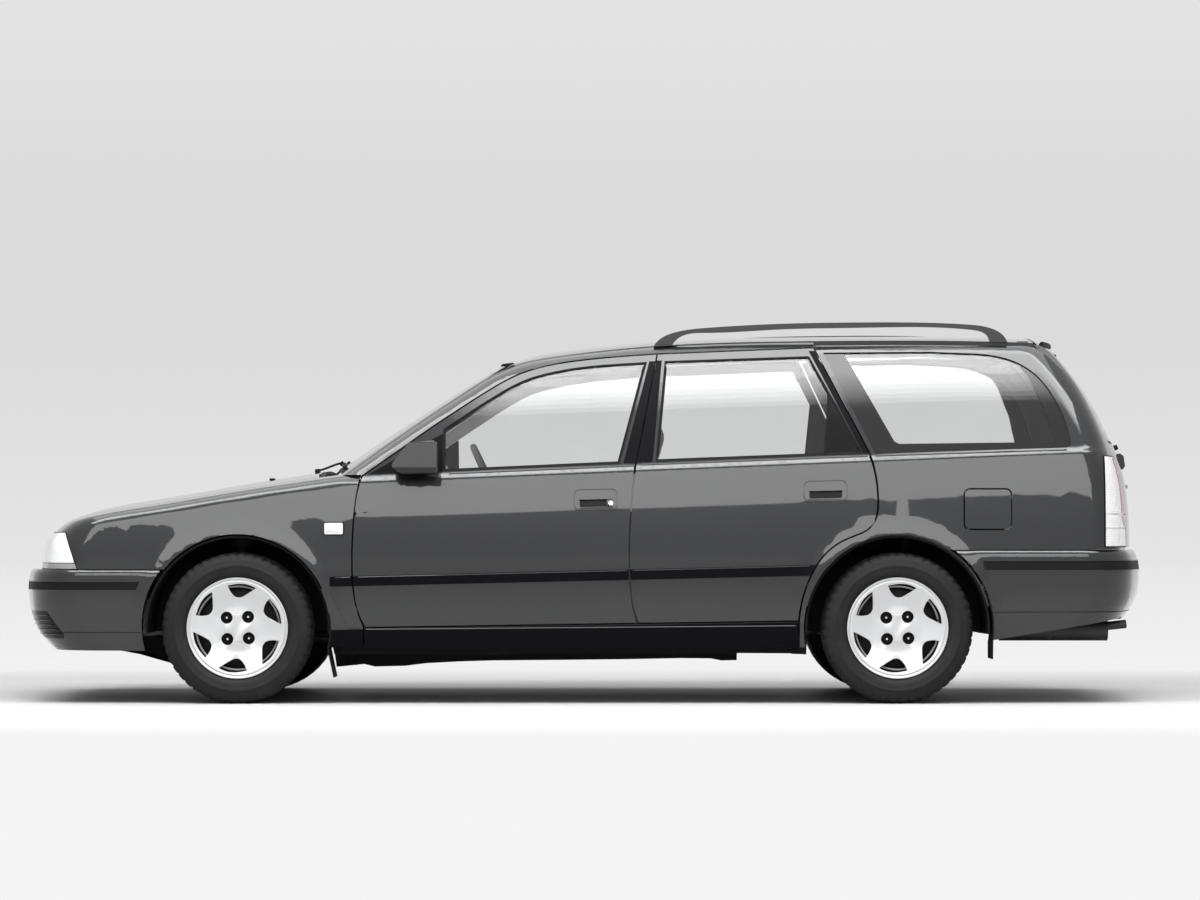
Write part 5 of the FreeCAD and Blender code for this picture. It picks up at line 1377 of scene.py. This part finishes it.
ventPlaces = (-0.545, -0.065, 0.065, 0.545)
parts = [block((-0.715, -0.572), 0.370, (0.872, 0.945), 0.165, 0.016, 3),
         *(block((-0.612, -0.5745), y, (0.800, 0.852), 0.052, 0.005) for y in ventPlaces),
         block((-0.690, -0.588), 0, (0.560, 0.790), 0.118, 0.012),
         block((-0.640, 0.060), 0, (0.279, 0.352), 0.080, 0.018, 3),
         block((-0.640, -0.560), 0, (0.300, 0.600), 0.095, 0.016, 3)]
addPiece("dashParts", join(*parts), "body", "cabinPlastic", sharpAngle=30)
parts = [*(block((-0.5752, -0.5738), y, (0.806, 0.846), 0.046, 0.0004, 1) for y in ventPlaces),
         block((-0.5890, -0.5868), 0, (0.700, 0.755), 0.098, 0.001),
         block((-0.5890, -0.5868), 0, (0.635, 0.690), 0.098, 0.001),
         block((-0.5735, -0.5712), 0.370, (0.884, 0.934), 0.145, 0.001)]
addPiece("dashSlots", join(*parts), "body", "glossBlack")
parts = [block((-0.5755, -0.5715), y, (z, z + 0.0035), 0.044, 0.0008, 1)
         for y in ventPlaces for z in (0.810, 0.818, 0.826, 0.834, 0.842)]
parts += [rod((-0.588, y, 0.6625), (-0.572, y, 0.6625), 0.016, 24, 0.0135) for y in (-0.070, 0.0, 0.070)]
parts += [rod((-0.588, y, 0.7275), (-0.574, y, 0.7275), 0.0105, 20, 0.009) for y in (-0.080, 0.080)]
parts += [block((-0.5875, -0.5840), 0, (z, z + 0.010), 0.055, 0.0012, 1) for z in (0.714, 0.734)]
addPiece("dashBars", join(*parts), "body", "blackTrim")
parts = []
for y, radius in ((0.300, 0.022), (0.440, 0.022), (0.370, 0.014)):
    outer, reach = radius + 0.0016, radius * 0.6
    ring = turned([(radius, 0.0006), (outer, 0.0006), (outer, -0.0016), (radius, -0.0016)], 40)
    needle = rod((-0.5705, y, 0.909), (-0.5705, y - reach, 0.909 - reach), 0.0008, 6)
    parts += [moved(ring, (-0.5708, y, 0.909), 90), needle]
addPiece("dials", join(*parts), "body", "lensWhite")
glovebox = lined("dashboard", (0.7, 0, -0.7), square((-0.56, 0.57), (-0.16, 0.698)), 0.005, 0.004, 0.5, "yz")
addPiece("glovebox", glovebox, "body", "cabinPlastic")
knob = turned([(0.0, 0.030), (0.012, 0.027), (0.019, 0.014), (0.020, 0.0), (0.014, -0.018), (0.0, -0.022)], 24,
              close=False)
parts = [tube([(-0.420, 0.0, 0.345), (-0.412, 0.0, 0.43), (-0.398, 0.0, 0.510)], 0.0065, 12, 4),
         moved(knob, (-0.396, 0.0, 0.522), -82, "X"),
         rod((-0.030, 0.020, 0.352), (-0.200, 0.020, 0.405), 0.010, 16, 0.012),
         rod((-0.190, 0.020, 0.402), (-0.290, 0.020, 0.433), 0.0155, 18, 0.0145)]
for y, half in ((0.265, 0.032), (0.365, 0.032), (0.455, 0.022)):
    parts += [block((-0.800, -0.786), y, (0.395, 0.455), half, 0.004),
              tube([(-0.792, y, 0.430), (-0.810, y, 0.500), (-0.812, y, 0.575)], 0.007, 10, 4)]
addPiece("controls", join(*parts), "body", "blackTrim")
gaiter = turned([(0.040, 0.0), (0.036, -0.006), (0.034, -0.012), (0.029, -0.018), (0.027, -0.026), (0.020, -0.032),
                 (0.017, -0.042), (0.009, -0.060), (0.0, -0.060), (0.0, 0.0)], 32)
addPiece("leverGaiter", moved(gaiter, (-0.418, 0.0, 0.351), 90, "X"), "body", "seatEdge", sharpAngle=60)

columnWay = Vector((0.906, 0, 0.423)).normalized()
hub = Vector((-0.383, 0.370, 0.847))
turnHub = Matrix.Translation(hub) @ columnWay.to_track_quat("X", "Z").to_matrix().to_4x4()
pad = softBox((0.004, -0.085, -0.075), (0.034, 0.085, 0.045), 0.014, 3)
for vertex in pad.verts:
    if vertex.co.z < -0.02:
        vertex.co.y *= 0.72
bmesh.ops.transform(pad, matrix=turnHub, verts=pad.verts)
addPiece("wheelPad", pad, "steering_wheel", "blackTrim", sharpAngle=60)
parts = []
for way in (-1, 1):
    root = hub - columnWay * 0.075 + Vector((0, way * 0.024, 0))
    parts.append(tube([root, root + Vector((0, way * 0.06, 0.006)), root + Vector((0.008, way * 0.150, 0.018))],
                      0.0062, 10, 4))
addPiece("stalks", join(*parts), "body", "blackTrim")

stemWay = Vector((-0.3, 0, 0.95))
glassAbove = screenTree.ray_cast(Vector((-0.366, 0, 1.245)), stemWay)[0]
stem = join(block((-0.380, -0.356), 0, (1.190, 1.250), 0.115, 0.010, 3),
            rod((-0.368, 0, 1.235), glassAbove - stemWay * 0.005, 0.008, 14))
addPiece("cabinMirror", stem, "body", "blackTrim")
pane = block((-0.3565, -0.3545), 0, (1.196, 1.244), 0.108, 0.0009, 1)
addPiece("cabinMirrorPane", pane, "body", "mirrorSilver")
print("dashboard and controls made")


# Seats

pads = {  # (x, z) outlines
    "cushion": [(-0.422, 0.388), (0.058, 0.388), (0.082, 0.465), (0.055, 0.508), (-0.395, 0.526), (-0.428, 0.470)],
    "back": [(0.082, 0.492), (0.142, 0.462), (0.316, 1.058), (0.296, 1.104), (0.258, 1.092)],
    "rearCushion": [(0.608, 0.288), (0.806, 0.288), (0.918, 0.440), (1.020, 0.440), (1.020, 0.508), (0.608, 0.546),
                    (0.534, 0.497)],
    "rearBack": [(0.918, 0.498), (1.002, 0.460), (1.136, 0.898), (1.112, 0.936), (1.072, 0.928)],
}
padGrain = 0.012
padFrames = 20
seatMiddle = -0.36
seatEnds = (-0.592, -0.128)
cushionWay, backWay = Vector((0, 0, 1)), Vector((-1, 0, 0.28)).normalized()


def inflated(form, cap):  # a plump version of a closed form, by cloth simulation
    thing = plainObject("padStart", form)
    shrink = thing.modifiers.new("voxels", "REMESH")
    shrink.mode = "VOXEL"
    shrink.voxel_size = padGrain
    base = appliedMesh(thing)
    thing.modifiers.clear()
    thing.data = base
    cloth = thing.modifiers.new("cloth", "CLOTH")
    cloth.settings.use_pressure = True
    cloth.settings.uniform_pressure_force = 4
    cloth.settings.effector_weights.gravity = 0
    cloth.settings.quality = 4
    cloth.point_cache.frame_start = 1
    cloth.point_cache.frame_end = padFrames
    for step in range(1, padFrames + 1):
        sceneNow.frame_set(step)
    swollen = appliedMesh(thing)
    thing.modifiers.clear()
    for vertex, now in zip(base.vertices, swollen.vertices):
        shift = now.co - vertex.co
        vertex.co += shift * min(1.0, cap / max(shift.length, 1e-9))
    bpy.data.meshes.remove(swollen)
    sceneNow.frame_set(1)
    thing.modifiers.new("smooth", "SUBSURF").levels = 1
    result = formOf(appliedMesh(thing))
    bpy.data.objects.remove(thing)
    return result


def makePad(name, low, high, soften, cap):
    form = loopPrism(pads[name], low, high)
    return inflated(softened(form, form.edges[:], soften, 3), cap)


def astride(middle, *widths):  # seams that run along the car, the same way off a middle on both sides
    return [lambda spot, width=width: abs(spot.y - middle) - width for width in widths]


def acrossAt(axis, *places):  # seams that run across the car
    return [lambda spot, place=place: getattr(spot, axis) - place for place in places]


def sewn(form, way, seams, depth=0.0055, width=0.0075):  # channels pressed in along the seams
    form.normal_update()
    moves = []
    for vertex in form.verts:
        look = vertex.normal.dot(way)
        if look > 0.35:
            press = max(math.exp(-(seam(vertex.co) / width) ** 2) for seam in seams)
            moves.append((vertex, vertex.normal * (-depth * press * min(1.0, (look - 0.35) * 3))))
    for vertex, move in moves:
        vertex.co += move
    return form


def frontCushion():
    form = makePad("cushion", *seatEnds, 0.020, 0.012)
    for vertex in form.verts:
        if vertex.co.z > 0.48:
            side = abs(vertex.co.y - seatMiddle)
            vertex.co.z += 0.010 * max(0.0, min(1.0, (side - 0.135) / 0.05)) - 0.006
    return sewn(form, cushionWay, astride(seatMiddle, 0.140) + acrossAt("x", -0.300, -0.170, -0.040))


def frontBack():
    form = makePad("back", -0.548, -0.172, 0.018, 0.010)
    for vertex in form.verts:
        rise = max(0.0, min(1.0, (vertex.co.z - 0.86) / 0.16))
        vertex.co.y = seatMiddle + (vertex.co.y - seatMiddle) * (1 - 0.24 * rise * rise * (3 - 2 * rise))
    return sewn(form, backWay, astride(seatMiddle, 0.120) + acrossAt("z", 0.640, 0.760, 0.880))


def rearPad(name, soften, cap, way, axis, place):
    form = makePad(name, -0.458, 0.458, soften, cap)
    return sewn(form, way, astride(0, 0, 0.380, 0.075) + acrossAt(axis, place))


def addPad(name, form, seat=None):
    piece = addPiece(name, form, "body", "seatCloth", sharpAngle=80)
    if seat:
        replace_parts(piece, seat)


cushion, back = frontCushion(), frontBack()
addPad("seatCushionRight", otherSide(cushion), "front_seat_right")
addPad("seatCushionLeft", cushion, "front_seat_left")
addPad("seatBackRight", otherSide(back))
addPad("seatBackLeft", back)
addPad("rearSeatCushion", rearPad("rearCushion", 0.018, 0.012, cushionWay, "x", 0.640), "rear_seat")
addPad("rearSeatBack", rearPad("rearBack", 0.016, 0.010, backWay, "z", 0.860))
parts = [block((0.020, 0.125), y, (0.430, 0.515), 0.005, 0.004) for y in (seatEnds[1] + 0.005, seatEnds[0] - 0.005)]
parts += [block((-0.400, 0.070), y, (0.372, 0.389), 0.014, 0.003) for y in (-0.50, -0.22)]
addBoth("seatRails", join(*parts), "body", "blackTrim")
print("seats made")


# Bright lines along the rub strip and sill, the skin over the upper hinge, and what hangs below

lineOutline = [(-0.0022, -0.0010), (-0.0020, 0.0008), (0.0, 0.0016), (0.0020, 0.0008), (0.0022, -0.0010)]


def stripLine(tree, low, high, gap=0.05):  # along the rub strip's upper edge
    start, end = ((x, 0.4868 + (x + 0.965) * 0.02466) for x in (low, high))
    return sweep(*sideLine(tree, start, end, gap), lineOutline)


addPair("frontStripLine", stripLine(doorTrees["front"], -0.868, 0.168), doorsOf("front"), "paint")
addPair("rearStripLine", stripLine(doorTrees["rear"], 0.190, 0.870), doorsOf("rear"), "paint")
addBoth("wingStripLine", stripLine(wingTree, -0.958, -0.900, 0.02), "body", "paint")
sillLine = sideLine(treeOf("body_side_left"), (-0.840, 0.2870), (0.820, 0.3010), 0.05)
addBoth("sillLine", sweep(*sillLine, lineOutline), "body", "paint")

hingeTop, hingeFoot = 0.752, 0.722
rows = []
for x in (-0.8832 + 0.0068 * i for i in range(6)):
    above, below = (onSide(doorTrees["front"], x, z)[0] for z in (hingeTop, hingeFoot))
    if above and below and abs(above.y - below.y) < 0.02:
        rows.append([(x, y - 0.0003, z) for y, z in evenly((above.y, hingeTop), (below.y, hingeFoot), 4)])
addPair("hingeCover", thickened(patched(rows), 0.0, 0.0008), doorsOf("front"), "paint")

flange = [(-0.974, 0.2250), (0.864, 0.2250), (0.864, 0.1880), (0.830, 0.1920), (0.420, 0.1945), (0.330, 0.1885),
          (0.250, 0.1945), (-0.260, 0.1930), (-0.340, 0.1860), (-0.430, 0.1925), (-0.790, 0.1900), (-0.968, 0.1900)]
addBoth("sillFlange", plug(flange, 0.7260, 0.7290), "body", "underseal")
rail = [(-0.984, 0.2320), (0.602, 0.2320), (0.600, 0.1600), (0.538, 0.1590), (0.498, 0.1670), (0.377, 0.1680),
        (0.177, 0.1640), (-0.089, 0.1610), (-0.355, 0.1590), (-0.488, 0.1550), (-0.620, 0.1480), (-0.700, 0.1380),
        (-0.819, 0.1350), (-0.862, 0.1450), (-0.907, 0.1400), (-0.970, 0.1340)]
addBoth("floorRails", plug(rail, 0.5000, 0.5450), "body", "underseal")
heel = [(0.806, 0.1900), (0.864, 0.1880), (0.868, 0.2950), (0.806, 0.3200)]
addBoth("sillHeel", plug(heel, 0.6900, 0.7220), "body", "underseal")
trayFloor = [(-1.955, 0.222), (-1.760, 0.186), (-1.620, 0.146), (-1.520, 0.140), (-1.452, 0.205),
             (-1.446, 0.201), (-1.512, 0.133), (-1.625, 0.137), (-1.765, 0.177), (-1.958, 0.213)]
traySide = [(-1.955, 0.220), (-1.760, 0.244), (-1.640, 0.262), (-1.500, 0.262), (-1.450, 0.236),
            (-1.450, 0.203), (-1.516, 0.137), (-1.625, 0.140), (-1.765, 0.180)]
tray = join(loopPrism(trayFloor, -0.330, 0.330), *(loopPrism(traySide, y, y + 0.008) for y in (-0.330, 0.322)))
addPiece("frontTray", tray, "body", "underseal")

bonnetTree = treeOf("bonnet")
parts = []
for y in (-0.26, 0.26):
    spot = bonnetTree.ray_cast(Vector((-1.245, y, 3)), Vector((0, 0, -1)))[0]
    parts += [softBox(spot - Vector((0.011, 0.009, 0.002)), spot + Vector((0.011, 0.009, 0.007)), 0.0035),
              rod(spot + Vector((0.010, 0, 0.004)), spot + Vector((0.0135, 0, 0.005)), 0.0016, 10)]
addPiece("washerJets", join(*parts), "bonnet", "blackTrim")
print("lines and underside made")
